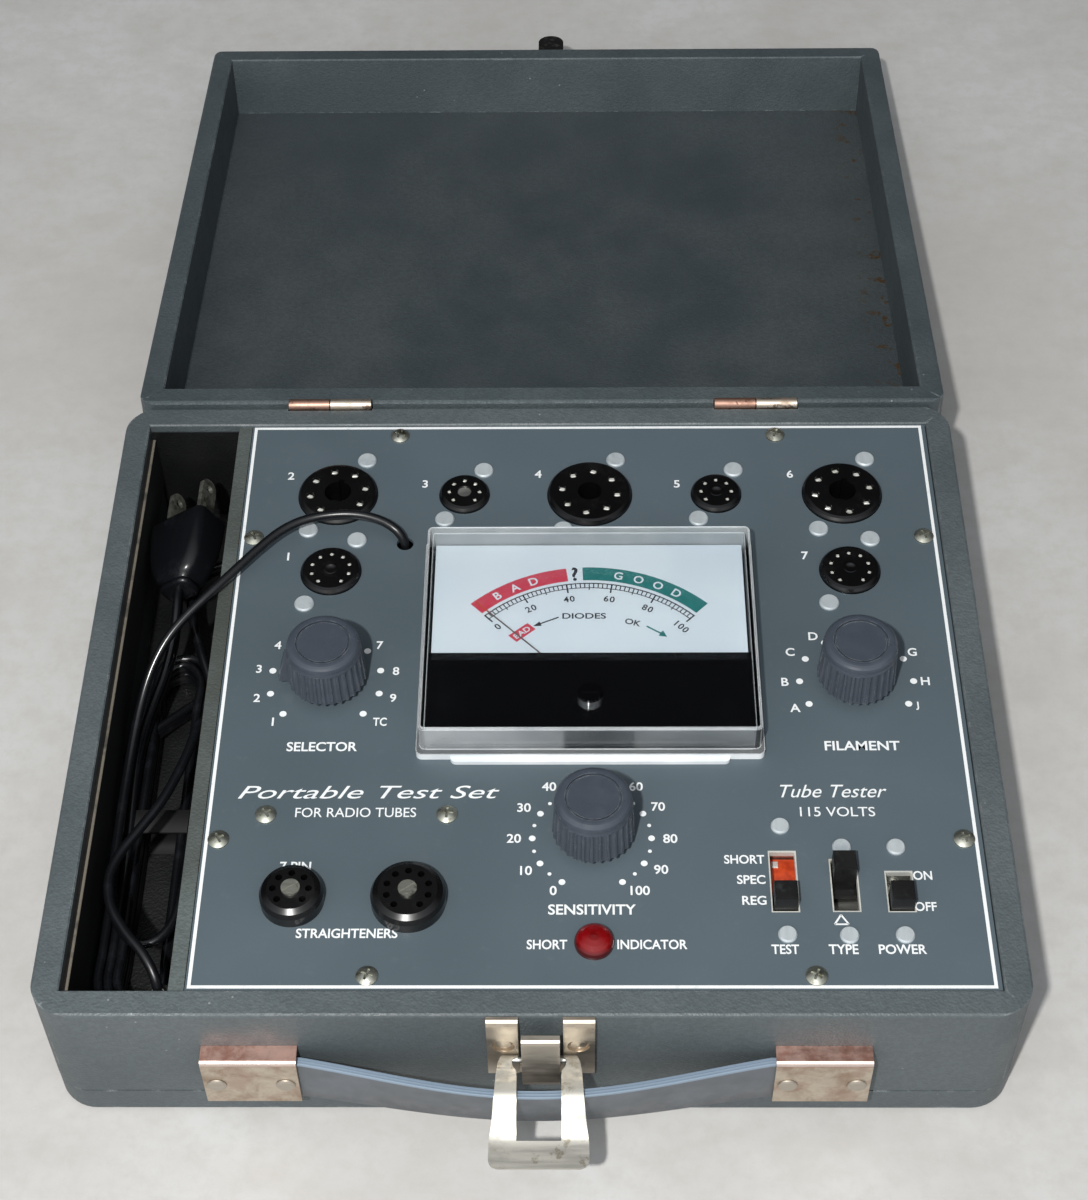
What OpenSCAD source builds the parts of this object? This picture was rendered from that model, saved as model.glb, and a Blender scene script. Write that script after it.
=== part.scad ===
// Portable valve tester in a hinged wooden case, lid laid open on the table.
// Millimetres, +Z up, -Y towards the user, origin at the centre of the base's underside.

/* [Case] */
// Outer width of the base
case_w = 266; // [230:1:300]
// Outer depth of the base
case_d = 224; // [200:1:260]
// Height of the base, table to rim
base_h = 53; // [45:0.5:65]
// Thickness of the side boards
wall_t = 7.8; // [6:0.1:10]
// Thickness of the bottom board
bottom_t = 10; // [6:0.5:12]
// Radius of the upright corners
corner_r = 11; // [8:0.5:14]
// Outer width of the lid
lid_w = 263; // [230:1:300]
// Radius of the lid's upright corners
lid_corner = 5; // [5:0.5:10]
// Height of the lid, rim to top
lid_h = 28.5; // [24:0.5:36]
// Thickness of the lid's top board
lid_top_t = 4.4; // [4:0.1:8]

/* [Panel] */
// Width of the panel plate
panel_w = 216.8; // [200:0.1:218]
// Depth of the panel plate
panel_d = 208; // [190:1:210]
// Thickness of the panel plate
panel_t = 1.2; // [0.8:0.1:2]
// How far the panel lies below the rim
panel_drop = 1; // [0:0.1:3]

/* [Controls] */
// Knob radius at the foot of the flutes
knob_r = 11.5; // [10:0.1:13]
// Knob height
knob_h = 15.4; // [12:0.1:20]
// Slide switch button width
slider_w = 6.2; // [5:0.1:7]
// Slide switch button length
slider_l = 6.2; // [5:0.1:7]

/* [Meter] */
// Width of the meter's cover
meter_w = 97.6; // [90:0.1:110]
// Depth of the meter's cover
meter_d = 77; // [70:0.1:90]
// Height of the meter above the panel
meter_h = 12; // [8:0.1:16]

/* [Hidden] */
$fn = 48;
rim = base_h;
pz = base_h - panel_drop;          // top face of the panel
pb = pz - panel_t;                 // underside of the panel
hx = case_w / 2;
hy = case_d / 2;
px = 16.5;                         // centre of the panel in X
py = 0.2;                          // centre of the panel in Y
seam_z = 12;                       // lower edge of the walls, on the bottom board
div_x = -96.3;                     // left face of the divider
div_t = 4.2;
lid_front = -111.9;                // the lid's front face, closed
lid_back = 111.55;
lid_cx = 1.2;
gap = 0.3;                         // lid rim to base rim, closed
ax_y = hy + 0.9;                   // hinge axis
ax_z = rim + 0.4;
lid_r = 4.3;                       // rounding of the lid's top edges
bevel = 0.9;                       // planed off the lid's hinge side
// the opening angle at which the lid's rounded front edge just meets the table
lid_a = ax_y - lid_front - lid_r;
lid_b = rim + gap + lid_h - lid_r - ax_z;
lid_c = ax_z - lid_r - 0.02;
lid_tilt = asin(lid_c / sqrt(lid_a * lid_a + lid_b * lid_b)) - atan2(lid_b, lid_a);
hinge_x = [-67.4, 70.9];
mx = 16.3;                         // centre of the meter
my = 12;
needle_y = -11.2;                  // pivot of the meter's needle
needle_rest = 134.5;
sel = [-60.6, -0.3];               // selector, filament and sensitivity shafts
fil = [94.2, -0.3];
sens = [17, -54.7];
oct2 = [-62.4, 74.2];
mini3 = [-22.6, 74.2];
loct4 = [16.8, 74.2];
mini5 = [56.5, 74.2];
oct6 = [96, 74.2];
nov7 = [96, 42.4];
nov1 = [-62.6, 42.4];
str7 = [-65.3, -75.5];
str9 = [-33.5, -75.8];
lamp = [17, -89.2];
rivet_turn = 60.5;                 // the socket rivets lie on this slant
slots = [[69.1, -69.6, 19.4], [85.7, -70.9, 16.6], [100.7, -72.9, 12.8]];
rivet_span = [[-51.6, -86.7], [-58.6, -87], [-58.6, -86.9]];
panel_pts = [[-44.1, 99.9], [76.5, 99.9], [-87.5, 56.3], [119.9, 56.3],
             [-87.5, -55.9], [119.9, -55.9], [-43.6, -99.5], [76, -99.5]];
trans_pts = [[-75, -47.5], [-24, -47.5]];
latch_x = 2.7;
bail_y = -hy - 3.4;                // bail pivot
bail_z = 35.6;
strap_z = [16.8, 34.8];            // strap, bottom and top edge
bracket_x = [-75.6, 78.3];
bracket_w = 25.8;
hank_c = [-110.9, -29];            // centre of the coiled mains cord
hank_l = 136;
hank_w = 26.6;
hank_z = [10.7, 21.5];
hank_t = 8.1;
plug_at = [-111.7, 47, 37];
cord_w = 5.4;
cord_t = 2.7;
lead_d = 2.9;
exit_at = [div_x, 66, 27];
lead_pts = [[-40.4, 53.6, 44], [-40.4, 53.7, 49], [-40.7, 54.1, 53], [-43, 56, 56], [-48, 58.8, 57.4],
            [-55, 60.6, 58], [-63, 60.6, 58], [-71.5, 58.6, 57.8], [-78.5, 54.4, 57.4], [-85, 47.6, 56.8],
            [-90.8, 40.6, 56], [-97.8, 32.6, 54.6], [-104.6, 26, 52], [-109.8, 20.4, 49], [-113.6, 15, 45.4],
            [-116.4, 9.4, 41.4], [-118.4, 2.6, 37.4], [-119.8, -6, 34], [-120.6, -16, 31.6], [-121, -30, 30.4],
            [-121, -46, 30], [-120.4, -58, 30], [-118, -68, 30], [-113, -75, 30], [-107, -75.6, 30],
            [-102.4, -70.6, 30], [-100.4, -62, 30], [-99.8, -48, 30], [-99.6, -32, 30], [-99.6, -20, 30],
            [-99.6, -11.6, 30.4], [-99.6, -5.6, 32.8], [-99.6, -3.2, 36], [-99.8, -5.8, 39.2],
            [-100.4, -12, 40.8], [-102.6, -22, 41.2], [-107, -35, 41.4], [-112.6, -45.4, 41.4],
            [-117, -53.4, 41.4], [-119, -61.4, 41.4], [-117.4, -70.6, 41.4], [-112.6, -78.6, 41.2],
            [-107.4, -84.8, 40.8], [-104, -89.8, 39], [-102.6, -93, 36.4], [-102.4, -94.4, 33]];
tail_pts = [[-97, 66, 27], [-101.6, 65.6, 27], [-106.8, 63, 26.4], [-109.6, 57, 25.6], [-109.6, 49, 24.8],
            [-107.4, 40, 24.4], [-104, 30, 24.4], [-101.8, 20, 24.4]];
lift_pts = [[-119.6, -12, 24.4], [-119, 0, 24.8], [-117, 11, 25.8], [-114.4, 21, 27.8],
            [-112.4, 30, 31.8], [-111.7, 38, 35.4], [-111.7, 44, 37], [-111.7, 48.6, 37]];

// Which piece to show

// ---- shared shapes ----
module rounded(w, d, r) {
  square([w - 2 * r, d], center = true);
  square([w, d - 2 * r], center = true);
  for (x = [-1, 1], y = [-1, 1]) translate([x * (w / 2 - r), y * (d / 2 - r)]) circle(r);
}

// one mitred board of a four-sided box, with its rim edges eased
module board(w, d, t, r, z0, z1, side, ease_low = 0, ease_high = 0) {
  along = side == "front" || side == "back";
  s = side == "front" || side == "left" ? -1 : 1;
  intersection() {
    translate([0, 0, z0]) linear_extrude(z1 - z0) intersection() {
      difference() {
        rounded(w, d, r);
        square([w - 2 * t, d - 2 * t], center = true);
      }
      if (along)
        polygon([[-w / 2, s * d / 2], [w / 2, s * d / 2], [w / 2 - t, s * (d / 2 - t)],
                 [-w / 2 + t, s * (d / 2 - t)]]);
      else
        polygon([[s * w / 2, -d / 2], [s * w / 2, d / 2], [s * (w / 2 - t), d / 2 - t],
                 [s * (w / 2 - t), -d / 2 + t]]);
    }
    if (along)
      translate([0, s * d / 2, 0]) rotate([90, 0, 90])
        linear_extrude(w, center = true) eased(-s, t, z0, z1, ease_low, ease_high);
    else
      translate([s * w / 2, 0, 0]) rotate([90, 0, 0])
        linear_extrude(d, center = true) eased(-s, t, z0, z1, ease_low, ease_high);
  }
}

// cross-section of a board; the outer face is at 0 and the board runs to in * t
module eased(in, t, z0, z1, low, high) {
  lo = max(low, 0.01);
  hi = max(high, 0.01);
  polygon([[0, z0 + lo], [in * lo * 0.3, z0 + lo * 0.3], [in * lo, z0], [in * (t - lo * 0.5), z0],
           [in * t, z0 + lo * 0.5], [in * t, z1 - hi * 0.5], [in * (t - hi * 0.5), z1],
           [in * hi, z1], [in * hi * 0.3, z1 - hi * 0.3], [0, z1 - hi]]);
}

// a closed tube swept through hand-placed points; w across, h up
module sweep(pts, w, h, sides = 8) {
  n = len(pts);
  function dir(i) = let (a = pts[max(i - 1, 0)], b = pts[min(i + 1, n - 1)], v = b - a) v / norm(v);
  function side_of(i) = let (t = dir(i), c = abs(t[2]) > 0.95 ? [t[1] + 0.2, -t[0], 0] : [t[1], -t[0], 0])
    c / norm(c);
  function up_of(i) = cross(side_of(i), dir(i));
  ring = [for (i = [0:n - 1]) for (k = [0:sides - 1])
    let (a = 360 * (k + 0.5) / sides) pts[i] + side_of(i) * w / 2 * cos(a) + up_of(i) * h / 2 * sin(a)];
  polyhedron(ring, concat([[for (k = [sides - 1:-1:0]) k]],
    [for (i = [0:n - 2]) for (k = [0:sides - 1])
      [i * sides + k, i * sides + (k + 1) % sides, (i + 1) * sides + (k + 1) % sides, (i + 1) * sides + k]],
    [[for (k = [0:sides - 1]) (n - 1) * sides + k]]), convexity = 10);
}

// closed lid coordinates to the opened rest pose
module lid_place() {
  translate([0, ax_y, ax_z]) rotate([-180 - lid_tilt, 0, 0]) translate([0, -ax_y, -ax_z]) children();
}

// ---- case ----
// pockets for the hinges: round for the knuckles, flat for the leaves
module mortises(y, z) {
  for (x = hinge_x) {
    translate([x, ax_y, ax_z]) rotate([0, 90, 0]) cylinder(r = 2.3, h = 27.4, center = true);
    translate([x - 13.7, y - 0.95, z]) cube([27.4, 2, 10.4]);
  }
}

module base_board(side) {
  color([0.27, 0.3, 0.31]) board(case_w, case_d, wall_t, corner_r, seam_z, rim, side, 0.5, 0.8);
}
module base_front_wall() { base_board("front"); }
module base_back_wall() { difference() { base_board("back"); mortises(hy, rim - 9.6); } }
module base_left_wall() { base_board("left"); }
module base_right_wall() { base_board("right"); }

// the walls stand in a rebate round the board; its lower edge is rounded off
module bottom_board() {
  color([0.26, 0.29, 0.3]) difference() {
    union() {
      for (l = [[0, 2.4], [0.6, 1.1], [1.4, 0.4], [2.4, 0.1]])
        translate([0, 0, l[0]]) linear_extrude(seam_z - 0.5 - l[0])
          rounded(case_w - 2 * l[1], case_d - 2 * l[1], corner_r - l[1]);
      linear_extrude(seam_z) rounded(case_w - 2.6, case_d - 2.6, corner_r - 1.3);
    }
    translate([-hx + wall_t, -hy + wall_t, bottom_t]) cube([case_w - 2 * wall_t, case_d - 2 * wall_t, 5]);
  }
}

module divider() {
  color([0.3, 0.33, 0.34]) difference() {
    translate([div_x, -hy + wall_t, bottom_t]) cube([div_t, case_d - 2 * wall_t, pz - bottom_t]);
    translate([div_x - 1, exit_at[1], exit_at[2]]) rotate([0, 90, 0]) cylinder(r = 4.2, h = div_t + 2);
  }
}

module panel_cleats() {
  color([0.62, 0.5, 0.36]) difference() {
    union() {
      for (s = [-1, 1]) translate([px - 107.6, s > 0 ? hy - wall_t - 8 : -hy + wall_t, pb - 12])
        cube([216, 8, 12]);
      for (y = [-56, 56]) {
        translate([div_x + div_t, y - 14, pb - 12]) cube([8, 28, 12]);
        translate([hx - wall_t - 9, y - 14, pb - 12]) cube([9, 28, 12]);
      }
    }
    for (p = panel_pts) translate([p[0], p[1], pb - 13]) cylinder(r = 1.45, h = 14);
  }
}

// ---- panel ----
module screw_head(r, h) {
  difference() {
    rotate_extrude() difference() {
      intersection() {
        translate([0, h - r * 1.6]) circle(r * 1.6);
        square([r, h]);
      }
      translate([-r * 2, -r]) square([r * 2, r * 4]);
    }
    for (a = [20, 110]) rotate(a) translate([0, 0, h]) cube([r * 1.15, 0.7, 1.5], center = true);
  }
}

module panel_plate() {
  color([0.31, 0.35, 0.37]) difference() {
    translate([px - panel_w / 2, py - panel_d / 2, pb]) cube([panel_w, panel_d, panel_t]);
    translate([0, 0, pb - 1]) linear_extrude(panel_t + 2) {
      for (p = concat(panel_pts, trans_pts)) translate(p) circle(1.7);
      for (s = [[oct2, 12.6], [oct6, 12.6], [loct4, 13.4], [mini3, 8], [mini5, 8], [nov1, 9.4], [nov7, 9.4]])
        translate(s[0]) circle(s[1]);
      socket_rivet_spots() circle(1.6);
      for (p = [sel, fil, sens]) translate(p) circle(4.9);
      for (p = [str7, str9]) translate(p) circle(1.9);
      translate(lamp) circle(5);
      translate([mx, my]) circle(35);
      for (x = [-1, 1], y = [-1, 1]) translate([mx + x * 42, my + y * 34]) circle(1.7);
      for (s = slots) translate([s[0], s[1]]) square([7.8, s[2] + 0.6], center = true);
      for (i = [0:2], y = rivet_span[i]) translate([slots[i][0], y]) circle(1.6);
      translate([-40.4, 53.8]) circle(2.6);
    }
  }
}

module panel_screws() {
  color([0.8, 0.8, 0.76]) for (p = panel_pts) translate([p[0], p[1], pz]) {
    rotate(p[0] * 3) screw_head(3, 1.5);
    translate([0, 0, -11]) cylinder(r = 1.4, h = 11);
  }
}

module transformer() {
  color([0.35, 0.34, 0.32]) union() {
    translate([-70.5, -63.5, pb - 33]) cube([42, 31, 33]);
    for (x = [-79, -28.5]) translate([x, -54.5, pb - 1.5]) difference() {
      cube([8.5, 14, 1.5]);
      translate([x < -50 ? 4 : 4.5, 7, -1]) cylinder(r = 1.5, h = 4);
    }
  }
}

module transformer_screws() {
  color([0.8, 0.8, 0.76]) for (p = trans_pts) translate([p[0], p[1], pz]) {
    rotate(p[0]) screw_head(3, 1.5);
    translate([0, 0, -5]) cylinder(r = 1.4, h = 5);
  }
}

// ---- sockets ----
module socket(r, span, holes, hole_r, ring_r, turn) {
  difference() {
    union() {
      translate([0, 0, pb - 8]) cylinder(r = r - 0.3, h = 8 + panel_t);
      rotate_extrude() polygon([[0, pz], [r - 0.3, pz], [r, pz + 0.02], [r, pz + 0.8], [r - 0.6, pz + 1.5],
                                [r - 1.4, pz + 1.8], [0, pz + 1.8]]);
      translate([0, 0, pb - 2]) linear_extrude(1.9) rotate(rivet_turn) {
        square([span, 8], center = true);
        for (s = [-1, 1]) translate([s * span / 2, 0]) circle(4);
      }
    }
    for (a = holes) rotate(a) translate([ring_r, 0, pb - 9]) cylinder(r = hole_r, h = 20, $fn = 20);
    for (s = [-1, 1]) rotate(rivet_turn) translate([s * span / 2, 0, pb - 3]) cylinder(r = 1.6, h = 4);
  }
}

module octal(p, turn) {
  color([0.05, 0.05, 0.05]) translate([p[0], p[1], 0]) difference() {
    socket(12.4, 33.9, [for (i = [0:7]) 22.5 + 45 * i + turn], 1.35, 8.7);
    difference() {
      translate([0, 0, pb - 9]) cylinder(r = 4.2, h = 20);
      rotate(turn + 90) translate([-5.4, -1, pb - 9]) cube([1.6, 2, 20]);
    }
    rotate(turn + 90) translate([3.6, -0.9, pb - 9]) cube([1.6, 1.8, 20]);
  }
}

module octal_socket_2() { octal(oct2, -12); }
module octal_socket_6() { octal(oct6, -12); }

module loctal_socket_4() {
  color([0.05, 0.05, 0.05]) translate([loct4[0], loct4[1], 0]) difference() {
    socket(13.2, 33.9, [for (i = [0:7]) 37 + 45 * i], 1.3, 8.7);
    translate([0, 0, pb - 9]) cylinder(r = 3.7, h = 20);
  }
}

module miniature(p, r, span, n, ring_r) {
  color([0.06, 0.06, 0.06]) translate([p[0], p[1], 0]) difference() {
    socket(r, span, [for (i = [1:n]) -90 + 360 * i / (n + 1)], 0.85, ring_r);
    translate([0, 0, pz - 2.2]) cylinder(r = 2.2, h = 5);
  }
}

module miniature_socket_3() { miniature(mini3, 7.8, 23.8, 7, 4.76); }
module miniature_socket_5() { miniature(mini5, 7.8, 23.8, 7, 4.76); }
module noval_socket_7() { miniature(nov7, 9.2, 29.4, 9, 5.95); }
module noval_socket_1() { miniature(nov1, 9.2, 29.4, 9, 5.95); }

module socket_rivet_spots() {
  for (s = [[oct2, 33.9], [oct6, 33.9], [loct4, 33.9], [mini3, 23.8], [mini5, 23.8], [nov1, 29.4],
            [nov7, 29.4]], k = [-1, 1])
    translate(s[0]) rotate(rivet_turn) translate([k * s[1] / 2, 0]) children();
}

module flat_rivet(r, h, below) {
  rotate_extrude() polygon([[0, -below], [1.45, -below], [1.45, 0], [r, 0], [r, h * 0.5], [r - 0.35, h], [0, h]]);
}

module socket_rivets() {
  color([0.78, 0.8, 0.78]) translate([0, 0, pz]) socket_rivet_spots() flat_rivet(3, 0.9, 3.4);
}

module contact_ring(p, list, ring_r, r) {
  translate([p[0], p[1], pb - 10]) for (a = list) rotate(a) translate([ring_r, 0, 0]) difference() {
    cylinder(r = r, h = 11.6, $fn = 16);
    translate([0, 0, 3]) cylinder(r = r * 0.55, h = 12, $fn = 12);
  }
}

module socket_contacts() {
  color([0.8, 0.78, 0.7]) {
    for (p = [oct2, oct6]) contact_ring(p, [for (i = [0:7]) 10.5 + 45 * i], 8.7, 1.25);
    contact_ring(loct4, [for (i = [0:7]) 37 + 45 * i], 8.7, 1.2);
    for (p = [mini3, mini5]) {
      contact_ring(p, [for (i = [1:7]) -90 + 45 * i], 4.76, 0.78);
      translate([p[0], p[1], pz - 2.1]) cylinder(r = 2.1, h = 3.4);
    }
    for (p = [nov1, nov7]) {
      contact_ring(p, [for (i = [1:9]) -90 + 36 * i], 5.95, 0.78);
      translate([p[0], p[1], pz - 2.1]) cylinder(r = 2.1, h = 3.4);
    }
  }
}

module straightener(p, r, n, ring_r) {
  translate([p[0], p[1], pz]) difference() {
    rotate_extrude() polygon([[2, 0], [r, 0], [r, 3.4], [r - 0.7, 4.9], [r - 2.2, 5.8], [2, 5.8]]);
    for (i = [1:n]) rotate(-90 + 360 * i / (n + 1)) translate([ring_r, 0, 0.6])
      cylinder(r = 0.95, h = 8, $fn = 20);
  }
}

module pin_straighteners() {
  color([0.05, 0.05, 0.05]) {
    straightener(str7, 8.8, 7, 4.9);
    straightener(str9, 10.3, 9, 5.95);
  }
}

module straightener_screws() {
  color([0.82, 0.83, 0.78]) for (p = [str7, str9]) translate([p[0], p[1], pz]) difference() {
    union() {
      translate([0, 0, 5.85]) cylinder(r = 2.6, h = 0.7);
      translate([0, 0, -5]) cylinder(r = 1.8, h = 11.6);
    }
    translate([0, 0, 6.6]) rotate(35) cube([6, 0.7, 0.5], center = true);
  }
}

// ---- meter ----
module meter_body() {
  color([0.06, 0.06, 0.065]) difference() {
    union() {
      translate([mx - 44, my - 36, pz]) cube([88, 72, 2.3]);
      translate([mx, my, pz - 28]) cylinder(r = 34.7, h = 28.1, $fn = 72);
    }
    translate([mx, my, pz - 26.4]) cylinder(r = 32.8, h = 40, $fn = 72);
    for (x = [-1, 1], y = [-1, 1]) translate([mx + x * 42, my + y * 34, pz - 1]) cylinder(r = 1.7, h = 6);
  }
}

// clear moulded cover with a flange round its foot
module meter_cover() {
  w = meter_w;
  d = meter_d;
  color([0.85, 0.9, 0.92, 0.35]) translate([mx, my, pz]) difference() {
    union() {
      translate([0, 0, 2.4]) linear_extrude(meter_h - 3) rounded(w, d, 1.6);
      translate([0, 0, meter_h - 0.6]) linear_extrude(0.6) rounded(w - 1, d - 1, 1.2);
      linear_extrude(2.5) rounded(w + 2.2, d + 3.8, 1.8);
      translate([0, -d / 2 - 1.9, 0]) linear_extrude(1.3) rounded(80, 3.6, 1.7);
    }
    translate([0, 0, -1]) linear_extrude(meter_h - 0.6) rounded(w - 3, d - 3, 0.8);
    translate([0, needle_y - my - 2.4, 0]) cylinder(r = 3.7, h = 20);
  }
}

module meter_mask() {
  top = pz + meter_h - 1.8;
  color([0.02, 0.02, 0.025]) translate([mx, 0, 0]) difference() {
    translate([-46.9, -24.8, pz + 2.5]) cube([93.8, 27.3, top - pz - 2.5]);
    translate([-45.4, -23.6, pz + 2]) cube([90.8, 30, top - pz - 3.2]);
    translate([0, needle_y - 2.4, pz]) cylinder(r = 3.7, h = 20);
  }
}

module meter_dial() {
  color([0.85, 0.89, 0.92]) difference() {
    union() {
      translate([mx - 46.6, 2.8, pz + 4.2]) cube([93.2, 45.8, 0.8]);
      translate([mx - 45.1, -22.6, pz + 4.2]) cube([90.2, 30, 0.8]);
    }
    translate([mx, needle_y, pz]) cylinder(r = 6, h = 10);
  }
}

module meter_movement() {
  color([0.45, 0.43, 0.4]) translate([mx, needle_y, 0]) difference() {
    union() {
      translate([0, 10, pz - 26]) cylinder(r = 17, h = 18);
      translate([-4, -4, pz - 9]) cube([8, 8, 12]);
    }
    translate([0, 0, pz - 27]) cylinder(r = 0.7, h = 40);
  }
}

module meter_needle() {
  color([0.12, 0.1, 0.1]) translate([mx, needle_y, 0]) rotate(needle_rest) union() {
    translate([0, 0, pz - 20]) cylinder(r = 0.65, h = 27);
    translate([0, 0, pz + 5.6]) cylinder(r = 2.4, h = 1.1);
    translate([0, -0.3, pz + 5.8]) cube([50.5, 0.6, 0.4]);
    translate([-9, -0.8, pz + 5.8]) cube([9, 1.6, 0.4]);
  }
}

module meter_zero_screw() {
  top = pz + meter_h;
  color([0.03, 0.03, 0.035]) translate([mx, needle_y - 2.4, 0]) difference() {
    union() {
      translate([0, 0, top - 3.4]) cylinder(r = 3.3, h = 3.8);
      translate([0, 0, top - 4.1]) cylinder(r = 4.4, h = 0.8);
    }
    translate([0, 0, top + 0.4]) cube([5, 0.8, 1.2], center = true);
  }
}

// ---- rotary controls ----
module rotary_controls() {
  color([0.55, 0.47, 0.32]) for (c = [[sel, 16, 20], [fil, 16, 20], [sens, 12, 13]])
    translate([c[0][0], c[0][1], 0]) difference() {
      union() {
        translate([0, 0, pb - c[2]]) cylinder(r = c[1], h = c[2] - 0.1);
        translate([0, 0, pb - 1]) cylinder(r = 4.7, h = 6);
      }
      translate([0, 0, pb - c[2] + 3]) cylinder(r = 3.25, h = 40);
    }
}

module control_nuts() {
  color([0.7, 0.7, 0.68]) for (p = [sel, fil, sens]) translate([p[0], p[1], pz]) difference() {
    cylinder(r = 7, h = 2, $fn = 6);
    translate([0, 0, -1]) cylinder(r = 4.75, h = 5);
  }
}

module shaft(p, deep) {
  color([0.72, 0.7, 0.62]) translate([p[0], p[1], pb - deep + 3.4]) cylinder(r = 3.175, h = pz + 13 - pb + deep - 3.4);
}
module control_shaft_1() { shaft(sel, 20); }
module control_shaft_2() { shaft(fil, 20); }
module control_shaft_3() { shaft(sens, 13); }

// fluted knob with a ring groove in its top and a pointer fin towards the angle a
module knob(p, a) {
  low = pz + 3.6;
  body = knob_h - 3.2;
  color([0.27, 0.29, 0.32]) translate([p[0], p[1], low]) difference() {
    union() {
      difference() {
        rotate_extrude($fn = 90) polygon([[0, 0], [knob_r, 0], [knob_r - 0.6, body], [knob_r - 0.8, body + 0.6],
          [knob_r - 0.85, body + 1.6], [knob_r - 1.05, body + 2.3], [knob_r - 1.55, body + 2.85],
          [knob_r - 2.2, knob_h - 0.08], [knob_r - 2.8, knob_h], [0, knob_h]]);
        for (i = [0:29]) rotate(12 * i + a + 6) translate([knob_r + 0.55, 0, -0.5]) rotate([0, -2.8, 0])
          cylinder(r = 1.05, h = body + 0.2, $fn = 14);
      }
      rotate(a) rotate([90, 0, 0]) linear_extrude(2, center = true)
        polygon([[8, 0], [knob_r + 2.6, 0], [knob_r + 2.6, 0.8], [knob_r - 0.1, body + 0.3], [8, body + 0.3]]);
    }
    translate([0, 0, knob_h - 0.25]) cylinder(r = 7.9, h = 2);
    translate([0, 0, knob_h - 0.9]) difference() {
      cylinder(r = 7.9, h = 2);
      translate([0, 0, -1]) cylinder(r = 7.25, h = 4);
    }
    translate([0, 0, -1]) cylinder(r = 3.2, h = knob_h - 1.8);
    translate([0, 0, -1]) cylinder(r = 8.2, h = 2.2);
  }
}
module selector_knob() { knob(sel, 186); }
module filament_knob() { knob(fil, 88); }
module sensitivity_knob() { knob(sens, 135); }

// ---- slide switches ----
module slide_switches() {
  color([0.72, 0.72, 0.7]) for (i = [0:2]) translate([slots[i][0], 0, 0]) {
    y0 = rivet_span[i][0] + 3.6;
    y1 = rivet_span[i][1] - 3.6;
    l = slots[i][2];
    difference() {
      union() {
        translate([-6.6, y1, pb - 1]) cube([13.2, y0 - y1, 0.9]);
        translate([-6, slots[i][1] - l / 2 - 3.2, pb - 11]) cube([12, l + 6.4, 10]);
      }
      translate([-3.5, slots[i][1] - l / 2, pb - 2]) cube([7, l, 3]);
      translate([-5.2, slots[i][1] - l / 2 - 2.4, pb - 9]) cube([10.4, l + 4.8, 8.01]);
      for (y = rivet_span[i]) translate([0, y, pb - 3]) cylinder(r = 1.6, h = 4);
    }
  }
}

module switch_rivets() {
  color([0.75, 0.76, 0.75]) for (i = [0:2], y = rivet_span[i]) translate([slots[i][0], y, pz])
    flat_rivet(2.6, 1, 2.6);
}

// button at the end of its slot: end -1 is nearest the user
module slider(i, end) {
  y = slots[i][1] + end * (slots[i][2] / 2 - slider_l / 2 - 0.4);
  color([0.04, 0.04, 0.045]) translate([slots[i][0], y, 0]) union() {
    translate([-slider_w / 2, -slider_l / 2, pb - 4]) cube([slider_w, slider_l, pz - pb + 9.2]);
    translate([-slider_w / 2 + 0.3, -slider_l / 2 + 0.3, pz + 5.2]) cube([slider_w - 0.6, slider_l - 0.6, 0.5]);
    translate([-4.8, -slider_l / 2 - 1.8, pb - 5.6]) cube([9.6, slider_l + 3.6, 1.8]);
  }
}
module test_slider() { slider(0, -1); }
module type_slider() { slider(1, 1); }
module power_slider() { slider(2, -1); }

// ---- short lamp ----
module lamp_holder() {
  color([0.5, 0.5, 0.48]) translate([lamp[0], lamp[1], 0]) difference() {
    union() {
      translate([0, 0, pb - 22]) cylinder(r = 5.6, h = 21.9);
      translate([0, 0, pb - 1]) cylinder(r = 4.9, h = 2.1);
    }
    translate([0, 0, pb - 20]) cylinder(r = 4.1, h = 30);
  }
}

module lamp_jewel() {
  color([0.55, 0.02, 0.03]) translate([lamp[0], lamp[1], pz]) rotate_extrude($fn = 60)
    polygon([[0, -2], [4, -2], [4, 0], [5.4, 0], [5.4, 0.9], [5.1, 1.9], [4.4, 2.8], [3.3, 3.6], [1.8, 4.1],
             [0, 4.3]]);
}

// ---- hinges ----
module hinge_base_leaves() {
  color([0.6, 0.42, 0.33]) for (x = hinge_x) translate([x, 0, 0]) union() {
    difference() {
      union() {
        translate([-13.3, hy - 0.8, rim - 9.2]) cube([26.6, 0.8, 7]);
        translate([-13.3, hy - 0.8, rim - 2.4]) cube([13.1, 0.8, 2.8]);
        translate([-13.3, ax_y, ax_z]) rotate([0, 90, 0]) cylinder(r = 1.9, h = 13.1);
      }
      for (k = [-9, 9]) translate([k, hy - 2, rim - 5.8]) rotate([-90, 0, 0]) cylinder(r = 1.3, h = 3);
    }
    translate([-0.4, ax_y, ax_z]) rotate([0, 90, 0]) cylinder(r = 0.9, h = 13.4);
    for (k = [-9, 9]) translate([k, hy - 5.8, rim - 5.8]) rotate([-90, 0, 0]) {
      cylinder(r = 1, h = 5);
      translate([0, 0, 5]) cylinder(r = 1.3, h = 0.9);
    }
  }
}

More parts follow.
